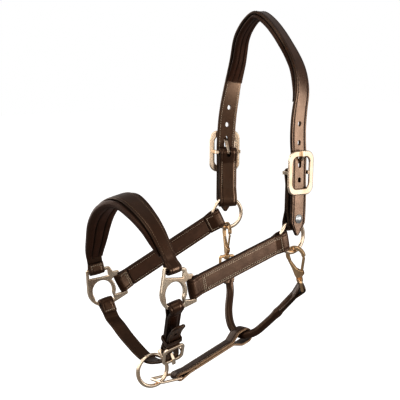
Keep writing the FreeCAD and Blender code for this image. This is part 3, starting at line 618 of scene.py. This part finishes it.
LEATHER = 3.0
CROWN_LEATHER = 4.0
STRAP_WIDTH = 25.0
CHIN_WIDTH = 19.0
LINING_WIDTH, LINING_THICKNESS = 24.6, 2.5
KEEPER_WIDTH, KEEPER_THICKNESS = 7.0, 1.4
TAB_THICKNESS = 2.4
RING_RADIUS, RING_WIRE = 20.5, 2.5
CHAPE_LENGTH = 64.5
squares = {}
for side, origin, yaw, pitch in (
        ("near", (-188.4, -84.4, -320.7), 4, 7.4),
        ("far", (-189.8, 84.5, -352.0), -9, -6.0)):
    turn = Matrix.Rotation(math.radians(yaw), 3, "Z") @ Matrix.Rotation(math.radians(pitch), 3, "Y")
    squares[side] = Place(
        origin, turn @ Vector((1, 0, 0)), turn @ Vector((0, 1, 0)), turn @ Vector((0, 0, 1)))
ring_centres = {"near": Vector((12, -60, -280)), "far": Vector((-4, 60, -263.5))}
side_yaw = {"near": 4.5, "far": -16.0}
outward_sign = {"near": -1, "far": 1}
crown_bars = {"near": Vector((13.5, -60, -195)), "far": Vector((-3.6, 60, -178.5))}
NOSE_BAR, CHEEK_BAR, JAW_BAR = (-5.0, 28.6), (26.85, 5.0), (3.0, -16.9)
SQUARE_BAR_TILT = math.radians(24.0)


def cross_row(name, run, distance, width):
    """One row of stitches straight across a strap's outer face."""
    centre, across, outward, _ = run.station(distance)
    half = width / 2 - 2.2
    line = Run([(centre + across * (half * side) + outward * (LEATHER / 2 + 0.25), outward)
                for side in (-1, 0, 1)])
    stitch_rows(name, line, "strapwork", [(lambda d: 0.0, lambda d: 0.0)], 0.4, line.length - 0.4,
                pale_thread, pitch=2.8, thick=0.5)


# ---------------------------------------------------------------- crown

crown_path = [
    (12.3, -68.6, -277), (14, -68.6, -250), (14.5, -68.5, -225), (14.15, -68.35, -195),
    (14.4, -68.4, -180), (12.7, -68.6, -156), (12.3, -69.2, -133), (14.5, -69.7, -110),
    (17.5, -69, -94), (19, -66.8, -80), (18, -62.5, -62), (13.5, -54.2, -42), (9, -45, -26),
    (6.5, -30, -9.5), (4, -15, 2.5), (2, 0, 8), (1, 15, 2.5), (1.5, 30, -9.5), (4.8, 45, -26),
    (8.6, 54.4, -43), (11, 61.5, -60), (11, 66.2, -78), (8.8, 69, -98), (6, 69.6, -113.5),
    (2.6, 68.9, -130), (-0.3, 67.8, -150), (-1.3, 68, -168), (-1.3, 68, -190), (-1.3, 68, -212),
    (-1.4, 68.2, -240), (-1.5, 68.2, -262.5)]
crown_curve = Curve(crown_path)
crown_yaws = [yawed(angle) for angle in (
    4.5, 4.5, 4.5, 4.5, 3, 4, 10, 18, 24, 26, 25, 22, 18, 12, -1, -11, -16, -16, -16, -16, -16)]
crown_run = Run(band_line(crown_curve, crown_yaws, count=300))


def distance_at_height(run, height, from_end=False):
    """The distance where a run first reaches a height, from its start or from its end."""
    for k in range(1000):
        distance = run.length * k / 2000
        if from_end:
            distance = run.length - distance
        if run.spot(distance)[0].z > height:
            return distance
    raise ValueError(height)


def crown_width(distance):
    edge = min(distance, crown_run.length - distance)
    share = min(edge / 17.0, 1.0)
    return 25.8 * (0.08 + 0.92 * (0.8 * share + 0.2 * math.sqrt(share)))


crown_cuts = []
for heights, from_end, pinned in (((-132.0, -156.5, -181.0, -204.5), False, -181.0),
                                  ((-118.5, -142.0, -165.0, -190.0), True, -165.0)):
    for height in heights:
        spot = crown_run.station(distance_at_height(crown_run, height, from_end))
        wide, tall = (5.4, 16.0) if height == pinned else (5.2, 6.8)
        crown_cuts.append(oval_plug(*spot, wide, tall))
crown_cuts.append(oval_plug(*crown_run.station(distance_at_height(crown_run, -255.0)), 3.4, 3.41))
strap("crown_strap_leather", crown_run.line, "strapwork", crown_width, CROWN_LEATHER, ["crown_strap"],
      cuts=crown_cuts, crown=0.12, step=2.2)
stitch_rows("crown_strap_stitches", crown_run, "strapwork", edge_rows(crown_width, CROWN_LEATHER, crown=0.12),
            7, crown_run.length - 7, dark_thread, pitch=3.3, long=2.1, thick=0.6)


def crown_pad_section(distance, run, half_width=12.4, half_depth=2.5):
    near_end = min(distance, run.length - distance)
    full = min(1.0, 0.12 + 0.88 * math.sin(min(near_end / 34.0, 1.0) * math.pi / 2))
    a, b = half_width, half_depth
    # The third numbers paint shade: 0.4 at the upper corner where the pad meets the strap, and 0.1 to 1.0 in
    # the groove along the pad's inner face.
    half = [(0, b, 0.0), (a * 0.85, b, 0.0), (a - 0.5, b * 0.8, 0.4), (a + 0.35, 0.2 * b, 0.0),
            (a - 0.6, -b * 0.8, 0.0), (a * 0.75, -b - 0.7, 0.0), (a * 0.45, -b - 0.35, 0.1),
            (a * 0.36, -b + 0.9, 1.0), (a * 0.27, -b - 0.35, 0.1), (0, -b - 0.7, 0.0)]
    half = [(u, b + (v - b) * full, mark) for u, v, mark in half]
    loop = smooth_loop(half + [(-u, v, mark) for u, v, mark in reversed(half[1:-1])], 4)
    ripple = 0.25 * noise.noise(Vector((distance * 0.07, 3.1, 0)))
    return [(u, v + (ripple if v < 0 else 0), min(max(mark, 0), 1)) for u, v, mark in loop]


pad_start, pad_end = distance_at_height(crown_run, -106), distance_at_height(crown_run, -84, True)
for label, start, end in (("near", 7, pad_start - 3), ("far", pad_end + 3, crown_run.length - 7)):
    stitch_rows("crown_strap_back_stitches_" + label, crown_run, "strapwork",
                edge_rows(crown_width, CROWN_LEATHER, inner=True), start, end, pale_thread)
crown_pad_run = Run([(centre - outward * (CROWN_LEATHER / 2 + 2.5 + 0.7), outward)
                     for centre, outward in (crown_run.spot(pad_start + (pad_end - pad_start) * k / 120)
                                             for k in range(121))])
crown_pad = finish_piece("crown_pad_leather", sweep_mesh(
    "crown_pad_leather", crown_pad_run, lambda d: crown_pad_section(d, crown_pad_run), 2.0),
    "strapwork", pad_leather, ["crown_padding"], 60)


# ---------------------------------------------------------------- chapes, cheeks and their linings

for side in ("near", "far"):
    centre = ring_centres[side]
    wire_top = centre + Vector((0, 0, RING_RADIUS))
    place = local_frame(wire_top, crown_bars[side] - wire_top, yawed(side_yaw[side]) * outward_sign[side])
    line = doubled_line(place, CHAPE_LENGTH, LEATHER, (RING_WIRE + 0.9, 5.0), (2.7, 0),
                        13.0, CHAPE_LENGTH - 13.4)
    slot_plug = oval_plug(place.point(0, 0, CHAPE_LENGTH + 1.2), place.x, place.y, place.z, 6.0, 15.5, 24)
    _, run = strap(side + "_crown_chape_leather", line, "strapwork", STRAP_WIDTH, LEATHER,
                   [side + "_crown_chape"],
                   cuts=[slot_plug], step=1.6)
    inner_start = run.length - (CHAPE_LENGTH - 13.4) + 12
    stitch_rows(side + "_crown_chape_stitches", run, "strapwork", edge_rows(STRAP_WIDTH, LEATHER),
                inner_start, run.length - 2, pale_thread)

    square = squares[side]
    bar = square.point(CHEEK_BAR[0], 0, CHEEK_BAR[1])
    width_axis = yawed(side_yaw[side])
    towards = bar - centre
    reach = (width_axis * towards.dot(width_axis) + Vector((0, 0, towards.z))).normalized()
    wire = centre + reach * RING_RADIUS
    bar_axis = square.x * math.sin(SQUARE_BAR_TILT) - square.z * math.cos(SQUARE_BAR_TILT)
    wire_axis = Vector((-reach.z * width_axis.x, -reach.z * width_axis.y, reach.dot(width_axis)))
    across = (bar_axis + wire_axis).normalized() * outward_sign[side]
    place = local_frame(bar, wire - bar, across)
    length = (wire - bar).length
    line = doubled_line(place, length, LEATHER, (2.5, 0), (RING_WIRE + 1.3, 5.0), 14.0, 14.0, 12.0)
    _, run = strap(side + "_cheek_strap_leather", line, "strapwork", STRAP_WIDTH, LEATHER,
                   [side + "_cheek_strap"], step=1.6,
                   material=cheek_leather)
    outer_start = run.length / 2 - length / 2
    for inset in (3.3, 5.2):
        stitch_rows(side + "_cheek_stitches_%d" % (inset * 10), run, "strapwork",
                    edge_rows(STRAP_WIDTH, LEATHER, inset), outer_start + 14, outer_start + length - 12,
                    pale_thread, thick=0.5, lean=10 if inset < 4 else -10)
    for height in (9.0, 11.8, length - 10.5):
        cross_row("%s_cheek_cross_stitches_%d" % (side, height * 10), run, outer_start + height, 25.0)
    for number, distance in enumerate((2.5, 5.0, run.length - 3.0)):
        cross_row("%s_cheek_flap_stitches_%d" % (side, number), run, distance, 25.0)
    lining_line = [(place.point(0, -1.3, z), -place.y) for z in (14.6, length / 2, length - 14.6)]
    _, lining_run = strap(side + "_cheek_lining_leather", lining_line, "strapwork",
                          LINING_WIDTH, LINING_THICKNESS,
                          [side + "_cheek_lining"], material=lining_leather,
                          crown=0.25)
    stitch_rows(side + "_cheek_lining_stitches", lining_run, "strapwork", edge_rows(24.6, 2.5, 3.3, 0.25),
                2, lining_run.length - 2, pale_thread)
    for label, start, end in (("square", 3, 13), ("ring", run.length - 13, run.length - 3)):
        stitch_rows(side + "_cheek_turn_stitches_" + label, run, "strapwork", edge_rows(STRAP_WIDTH, LEATHER),
                    start, end, pale_thread)


# ---------------------------------------------------------------- noseband

def bar_frame(side, bar, run, sign):
    square = squares[side]
    return local_frame(square.point(bar[0], 0, bar[1]), run, square.x * sign)


NOSE_LEG = 17.0
nose_near = bar_frame("near", NOSE_BAR, Vector((-4, 10, 20)), -1)
nose_far = bar_frame("far", NOSE_BAR, Vector((-4, -2.5, 20)), 1)
nose_curve = Curve([
    nose_near.point(0, LEATHER / 2, NOSE_LEG - 1), nose_near.point(0, LEATHER / 2, NOSE_LEG + 4),
    (-195.8, -69.6, -259.5), (-199.0, -57, -243.5), (-201.5, -29, -225.5), (-203, 0, -216),
    (-204.5, 25, -219.5), (-206, 46, -232), (-206.5, 62, -251), (-204.5, 74.5, -275),
    nose_far.point(0, LEATHER / 2, NOSE_LEG + 4), nose_far.point(0, LEATHER / 2, NOSE_LEG - 1)])
nose_lean = Vector((0.978, 0, 0.208))
nose_yaws = [squares["near"].x, (squares["near"].x + nose_lean).normalized(), nose_lean, nose_lean,
             (squares["far"].x + nose_lean).normalized(), squares["far"].x]
nose_band_line = band_line(nose_curve, nose_yaws, count=180)
near_fold = fold_line(nose_near, 2.9, 2.6, 0, 10.5, NOSE_LEG - 4, 9.5)
far_fold = backwards(fold_line(nose_far, 2.9, 2.6, 0, 10.5, NOSE_LEG - 4, 9.5))
near_fold_length = Run(near_fold).length + 2
far_fold_length = Run(far_fold).length + 2
nose_line = near_fold + nose_band_line + far_fold
nose_run = Run(nose_line)


def swelling(share, end_width, middle_width):
    return end_width + (middle_width - end_width) * math.sin(math.pi * min(max(share, 0), 1)) ** 0.8


def nose_share(distance):
    return (distance - near_fold_length) / (nose_run.length - near_fold_length - far_fold_length)


def nose_width(distance):
    return swelling(nose_share(distance), 20.5, 25.0)


strap("noseband_strap_leather", nose_line, "strapwork", nose_width, LEATHER, ["noseband_strap"],
      step=1.8, crown=0.45)
stitch_rows("noseband_strap_stitches", nose_run, "strapwork", edge_rows(nose_width, LEATHER, crown=0.45),
            near_fold_length + 4, nose_run.length - far_fold_length - 4, brown_thread)
cross_row("noseband_cross_stitches_far", nose_run, nose_run.length - 3.0, 20.5)
stitch_rows("noseband_turn_stitches_far", nose_run, "strapwork", edge_rows(20.5, LEATHER, crown=0.45),
            nose_run.length - 8, nose_run.length - 2, pale_thread)


def nose_pad_section(distance, run):
    share = 0.012 + 0.976 * distance / run.length
    a = swelling(share, 20.5, 38.0) / 2
    held = swelling(share, 20.5, 25.0) / 2
    margin = a - held
    near_end = min(distance, run.length - distance)
    full = 0.35 + 0.65 * math.sin(min(near_end / 22.0, 1.0) * math.pi / 2)
    b = 4.0
    # The third numbers paint shade: 0.6 to 1.0 where the strap's edge lies on the pad, and 0.1 to 1.0 in the
    # groove along the pad's inner face.
    half = [(0, b, 0.0), (held * 0.7, b, 0.0), (held - 0.3, b - 0.1, 0.6), (held + 0.5, b - 0.2, 1.0),
            (held + 0.35 * margin + 0.6, b + 0.22 * margin, 0.1),
            (held + 0.7 * margin + 0.4, b + 0.12 * margin, 0.0),
            (a + 0.2, b * 0.3, 0.0), (a - 0.1, -b * 0.35, 0.0), (a - 1.6, -b * 0.85, 0.0),
            (a * 0.72, -b - 0.6, 0.0),
            (a * 0.48, -b - 0.3, 0.1), (a * 0.39, -b + 1.5, 1.0), (a * 0.3, -b - 0.3, 0.1),
            (0, -b - 0.8, 0.0)]
    half = [(u, b + (v - b) * full, mark) for u, v, mark in half]
    loop = smooth_loop(half + [(-u, v, mark) for u, v, mark in reversed(half[1:-1])], 4)
    return [(u, v + (0.35 * noise.noise(Vector((distance * 0.06, u * 0.12, 7.3)))
                     if abs(u) > held or v < 0 else 0),
             min(max(mark, 0), 1)) for u, v, mark in loop]


pad_gap = (LEATHER + 8.0) / 2 + 0.4
nose_pad_run = Run(band_line(nose_curve, nose_yaws, (0.012, 0.988), -pad_gap, 170))
nose_pad = finish_piece("noseband_pad_leather", sweep_mesh(
    "noseband_pad_leather", nose_pad_run, lambda d: nose_pad_section(d, nose_pad_run), 1.8),
    "strapwork", pad_leather, ["noseband_padding"], 60)


# ---------------------------------------------------------------- jaw strap, adjuster and keeper

chin_bar = Vector((-162, -32.6, -405.0))
near_jaw_bar = squares["near"].point(JAW_BAR[0], 0, JAW_BAR[1])
chin_frame = local_frame(near_jaw_bar, chin_bar - near_jaw_bar, Vector((0.99, 0, 0.09)))
chin_length = (chin_bar - near_jaw_bar).length
chin_line = doubled_line(chin_frame, chin_length, LEATHER, (4.2, 0), (2.4, 0), chin_length - 16.5, 16.0)
chin_slot = oval_plug(chin_frame.point(0, 0, chin_length + 1.0), chin_frame.x, chin_frame.y, chin_frame.z,
                      5.6, 14.0, 22)
_, chin_run = strap("chin_chape_leather", chin_line, "strapwork", CHIN_WIDTH, LEATHER, ["chin_chape"],
                    cuts=[chin_slot], step=1.5)
stitch_rows("chin_chape_stitches", chin_run, "strapwork", edge_rows(CHIN_WIDTH, LEATHER, 2.8),
            4, chin_length - 34, brown_thread)

CHIN_BILLET = 7.2
chin_bar_frame = chin_frame.moved(0, 0, chin_length)
jaw_far = bar_frame("far", JAW_BAR, Vector((3, -14, -21)), -1)
JAW_LEG = 17.0
jaw_curve = Curve([
    jaw_far.point(0, LEATHER / 2, JAW_LEG - 1), jaw_far.point(0, LEATHER / 2, JAW_LEG + 4),
    (-182, 61, -393), (-178.5, 47, -404.5), (-174.5, 32, -415.5), (-170.5, 17, -425),
    (-167, 1, -430), (-164, -14, -428),
    chin_bar_frame.point(0, CHIN_BILLET, 14), chin_bar_frame.point(0, CHIN_BILLET, 0),
    chin_bar_frame.point(0, CHIN_BILLET, -14), chin_bar_frame.point(0, CHIN_BILLET - 0.4, -28),
    chin_bar_frame.point(0, CHIN_BILLET - 0.2, -37), chin_bar_frame.point(0, CHIN_BILLET + 2.8, -50),
    chin_bar_frame.point(0, CHIN_BILLET + 9.5, -70)])
jaw_yaws = [squares["far"].x, Vector((0.99, 0, 0.1)), Vector((1, 0, 0.02)), chin_frame.x, chin_frame.x]
jaw_fold = fold_line(jaw_far, 3.1, LEATHER, 0, 15.0, JAW_LEG - 3)
jaw_line = jaw_fold + band_line(jaw_curve, jaw_yaws, count=150)
jaw_run = Run(jaw_line)
jaw_fold_length = Run(jaw_fold).length


def jaw_width(distance):
    left = jaw_run.length - distance
    return 19.0 * min(1.0, 0.35 + 0.65 * math.sqrt(max(left, 0) / 9.0))


jaw_cuts = []
for height, wide, tall in ((-413.5, 5.4, 15.0), (-390.0, 4.0, 7.5), (-377.0, 4.0, 7.5)):
    for k in range(1, 600):
        distance = jaw_run.length - k * 0.25
        if jaw_run.spot(distance)[0].z < height:
            break
    jaw_cuts.append(oval_plug(*jaw_run.station(distance), wide, tall))
strap("jaw_strap_leather", jaw_line, "strapwork", jaw_width, LEATHER, ["jaw_strap"], cuts=jaw_cuts, step=1.8)
stitch_rows("jaw_strap_stitches", jaw_run, "strapwork", edge_rows(jaw_width, LEATHER, 2.8),
            jaw_fold_length + 14, jaw_run.length - 8, brown_thread)
stitch_rows("jaw_strap_turn_stitches", jaw_run, "strapwork", edge_rows(CHIN_WIDTH, LEATHER, 2.8),
            jaw_fold_length - 4, jaw_fold_length + 8, pale_thread, pitch=2.8)

cross_row("jaw_strap_cross_stitches", jaw_run, 3.0, 19.0)

keeper_place = chin_frame.moved(0, 2.8, chin_length - 24.5)
keeper_line = []
half_x, half_y, corner = 10.7, 7.4, 2.0
for k in range(49):
    angle = -math.pi / 2 + 2 * math.pi * k / 48
    cos, sin = math.cos(angle), math.sin(angle)
    x = math.copysign(min(abs(cos) * 1.6, 1.0), cos) * (half_x - corner) + corner * cos
    y = math.copysign(min(abs(sin) * 1.6, 1.0), sin) * (half_y - corner) + corner * sin
    keeper_line.append((keeper_place.point(x, y, 0),
                        (keeper_place.x * (x / half_x) ** 5
                         + keeper_place.y * (y / half_y) ** 5).normalized()))
strap("chin_keeper_leather", keeper_line, "keeper", KEEPER_WIDTH, KEEPER_THICKNESS, ["chin_keeper"],
      step=1.0, crown=0.2, creased=False)


# ---------------------------------------------------------------- under-jaw strap

link_bar = Vector((-128.5, 0, -458))
loop_axis = Vector((-21.5, 0, -420.3))
under_run_vector = loop_axis - link_bar
under_place = local_frame(link_bar, under_run_vector, Vector((0, 1, -0.09)))
under_length = under_run_vector.length - 8.0
under_line = doubled_line(under_place, under_length, LEATHER, (2.25, 0), (7.2, 8.0),
                          24.0, under_length - 24.4)
_, under_run = strap("under_jaw_strap_leather", under_line, "strapwork", CHIN_WIDTH, LEATHER,
                     ["under_jaw_strap"], step=1.6,
                     material=raw_edge_and_highlight_leather)
middle = under_run.length / 2
stitch_rows("under_jaw_strap_stitches", under_run, "strapwork", edge_rows(CHIN_WIDTH, LEATHER, 2.8),
            30, 30 + under_length - 16, pale_thread)


# ---------------------------------------------------------------- throat lash

snap_frames = {
    "near": local_frame((17.3, -60.4, -299.8), Vector((-0.253, -0.046, 0.966)), yawed(-60)),
    "far": local_frame((-4.0, 60.0, -284.0), Vector((0.03, 0.02, 1.0)), yawed(-106)),
}
eye_frames = {"near": snap_frames["near"].turned(-62), "far": snap_frames["far"].turned(-74)}
EYE_BAR = -53.0
TAB = 26.0
TABS = {"near": 43.0, "far": 26.0}
lash_places = {}
for side, way in (("near", Vector((-13, 12, -20))), ("far", Vector((2.8, -5, -34)))):
    place = local_frame(eye_frames[side].point(0, 0, EYE_BAR), way, eye_frames[side].x)
    lash_places[side] = place
    lead = 13.0
    half = eye_half(2.9, 2.4, 0, lead)
    flat = [(-1.2, TABS[side])] + [(-y, z) for y, z in reversed(half)] + half + [(1.2, TABS[side])]
    tab_run = Run(lay_flat(place, flat))

    def tab_width(distance, run=tab_run):
        edge = min(distance, run.length - distance)
        return 18.6 * min(1.0, 0.7 + 0.3 * math.sqrt(edge / 8.0))

    piece, _ = strap(side + "_lash_tab_leather", tab_run.line, "strapwork", tab_width, TAB_THICKNESS,
                     step=1.2, crown=0.3)
    for label, start, end in (("outer", tab_run.length - 13, tab_run.length - 2), ("inner", 2, 13)):
        stitch_rows(side + "_lash_tab_stitches_" + label, tab_run, "strapwork",
                    edge_rows(tab_width, TAB_THICKNESS, 2.6, 0.3),
                    start, end, pale_thread, pitch=2.8)

lash_route = [
    lash_places["near"].point(0, 0, TAB - 17), lash_places["near"].point(0, 0, TAB + 8),
    (6, -33, -391), (-5, -21.5, -407), (-13, -14.5, -415.5),
    (-22, -7, -419), (-25.5, 5, -419.5), (-27, 13, -416),
    (-24.5, 26, -405), (-14.5, 41, -389),
    lash_places["far"].point(0, 0, TAB + 8), lash_places["far"].point(0, 0, TAB - 10)]
lash_curve = Curve(lash_route)
lash_line = []
normal = Vector((-0.7, 0.2, 0.6))
for k in range(221):
    along = lash_curve.along(k / 220)
    normal = (normal - along * along.dot(normal)).normalized()
    lash_line.append((lash_curve.value(k / 220), normal.copy()))
lash_run = Run(lash_line)


def lash_section(distance):
    """Round roll with a seam, pressed flatter where it goes into the tabs."""
    near_end = min(distance, lash_run.length - distance)
    blend = min(1.0, near_end / 14.0)
    blend = blend * blend * (3 - 2 * blend)
    lap = math.exp(-((distance - 38.0) / 5.0) ** 2)
    a, b = 6.4 + (5.3 - 6.4) * blend + 0.9 * lap, 1.8 + (5.3 - 1.8) * blend + 0.9 * lap
    loop = []
    for k in range(28):
        angle = 2 * math.pi * k / 28
        seam = max(0.0, 1 - abs(math.degrees(angle) - 270) / 14)
        shrink = 1 - 0.14 * seam
        loop.append((a * math.cos(angle) * shrink, b * math.sin(angle) * shrink, seam))
    return loop


finish_piece("throat_lash_roll", sweep_mesh("throat_lash_roll", lash_run, lash_section, 1.8),
             "strapwork", strap_leather, ["throat_lash"], 60)
stitch_rows("throat_lash_stitches", lash_run, "strapwork", [(lambda d: 1.5, lambda d: -5.05)],
            24, lash_run.length - 24, brown_thread)


# ---------------------------------------------------------------- metal keeps its CAD shape

metal_pieces = bpy.data.collections.new("metal_pieces")
for name, node in frame["nodes"].items():
    if node.hide_render:
        continue
    if name == "crown_stud" or name.endswith("_gate_spring"):
        material = steel
    elif "snap" in name or "gate" in name:
        material = brass_dark
    else:
        material = brass
    if not node.material_slots:
        node.data.materials.append(material)
    for slot in node.material_slots:
        slot.material = material
    node.data.shade_smooth()
    node.data.set_sharp_from_angle(angle=math.radians(35))
    metal_pieces.objects.link(node)


# ---------------------------------------------------------------- studio

def area_light(name, place, target, size, power, colour=(1, 1, 1)):
    data = bpy.data.lights.new(name, "AREA")
    data.shape = "RECTANGLE"
    data.size, data.size_y = size
    data.energy = power
    data.color = colour
    light = bpy.data.objects.new(name, data)
    light.location = place
    light.rotation_mode = "QUATERNION"
    light.rotation_quaternion = (Vector(target) - Vector(place)).to_track_quat("-Z", "Y")
    bpy.context.scene.collection.objects.link(light)
    return light


FLOOR_GAP = 0.12
# How bright the world is to the camera, in reflections, and as light on the object.
SEEN_WORLD, MIRRORED_WORLD, LIGHTING_WORLD = 1.0, 0.42, 0.12
VIEW_GAMMA = 0.8

# Leather and metal have lights of their own; the last three lights reach everything.
centre = (cad_low + cad_high) / 2
right_place = centre + Vector((1.0, -1.0, -0.16))
leather_pieces = bpy.data.collections.new("leather_pieces")
for thing in bpy.context.scene.objects:
    if thing.type == "MESH" and thing.name not in metal_pieces.objects:
        leather_pieces.objects.link(thing)
right_light = area_light("right_softbox", right_place, centre, (0.75, 1.1), 26)
right_light.light_linking.receiver_collection = leather_pieces
for name, place, size, power in (
        ("metal_softbox", right_place, (0.75, 1.1), 3.4),
        ("metal_front_softbox", centre + Vector((0.1, -1.9, -0.15)), (2.4, 1.9), 13),
        ("metal_fill", centre + Vector((-1.5, -1.3, 0.4)), (1.8, 1.6), 8)):
    metal_light = area_light(name, place, centre, size, power)
    metal_light.light_linking.receiver_collection = metal_pieces
front_light = area_light("front_softbox", centre + Vector((0.2, -1.9, -0.1)), centre, (1.5, 1.4), 14)
front_light.light_linking.receiver_collection = leather_pieces
area_light("top_softbox", centre + Vector((-0.5, -0.5, 1.4)), centre, (1.2, 1.2), 8)
area_light("back_softbox", centre + Vector((-0.5, 1.8, 0.5)), centre, (1.8, 1.6), 16)
area_light("left_softbox", centre + Vector((-1.4, 0.2, 0.5)), centre, (0.6, 1.2), 5)

floor_data = bpy.data.meshes.new("floor")
floor_data.from_pydata([(-6, -6, 0), (6, -6, 0), (6, 6, 0), (-6, 6, 0)], [], [(0, 1, 2, 3)])
floor = bpy.data.objects.new("floor", floor_data)
floor.location = (centre.x, centre.y, cad_low.z - FLOOR_GAP)
bpy.context.scene.collection.objects.link(floor)
floor_material, floor_tree, floor_shader = new_material("pale_floor")
floor_shader.inputs["Base Color"].default_value = (0.55, 0.55, 0.55, 1)
floor_shader.inputs["Roughness"].default_value = 0.9
floor_shader.inputs["Emission Color"].default_value = (1, 1, 1, 1)
floor_seen = floor_tree.nodes.new("ShaderNodeLightPath").outputs["Is Camera Ray"]
floor_tree.links.new(ramp(floor_tree, floor_seen, 0, 1, 0.0, 0.95), floor_shader.inputs["Emission Strength"])
floor_data.materials.append(floor_material)

world = bpy.data.worlds.new("studio")
world.use_nodes = True
bpy.context.scene.world = world
sky = world.node_tree.nodes["Background"]
sky.inputs["Color"].default_value = (1, 1, 1, 1)
path = world.node_tree.nodes.new("ShaderNodeLightPath")
strength = world.node_tree.nodes.new("ShaderNodeMath")
strength.operation = "MAXIMUM"
seen_by = (("Is Camera Ray", SEEN_WORLD), ("Is Glossy Ray", MIRRORED_WORLD))
for slot, (ray, brightness) in enumerate(seen_by):
    level = ramp(world.node_tree, path.outputs[ray], 0, 1, LIGHTING_WORLD, brightness)
    world.node_tree.links.new(level, strength.inputs[slot])
world.node_tree.links.new(strength.outputs["Value"], sky.inputs["Strength"])
bpy.context.scene.view_settings.view_transform = "Standard"
bpy.context.scene.view_settings.look = "None"
bpy.context.scene.view_settings.gamma = VIEW_GAMMA
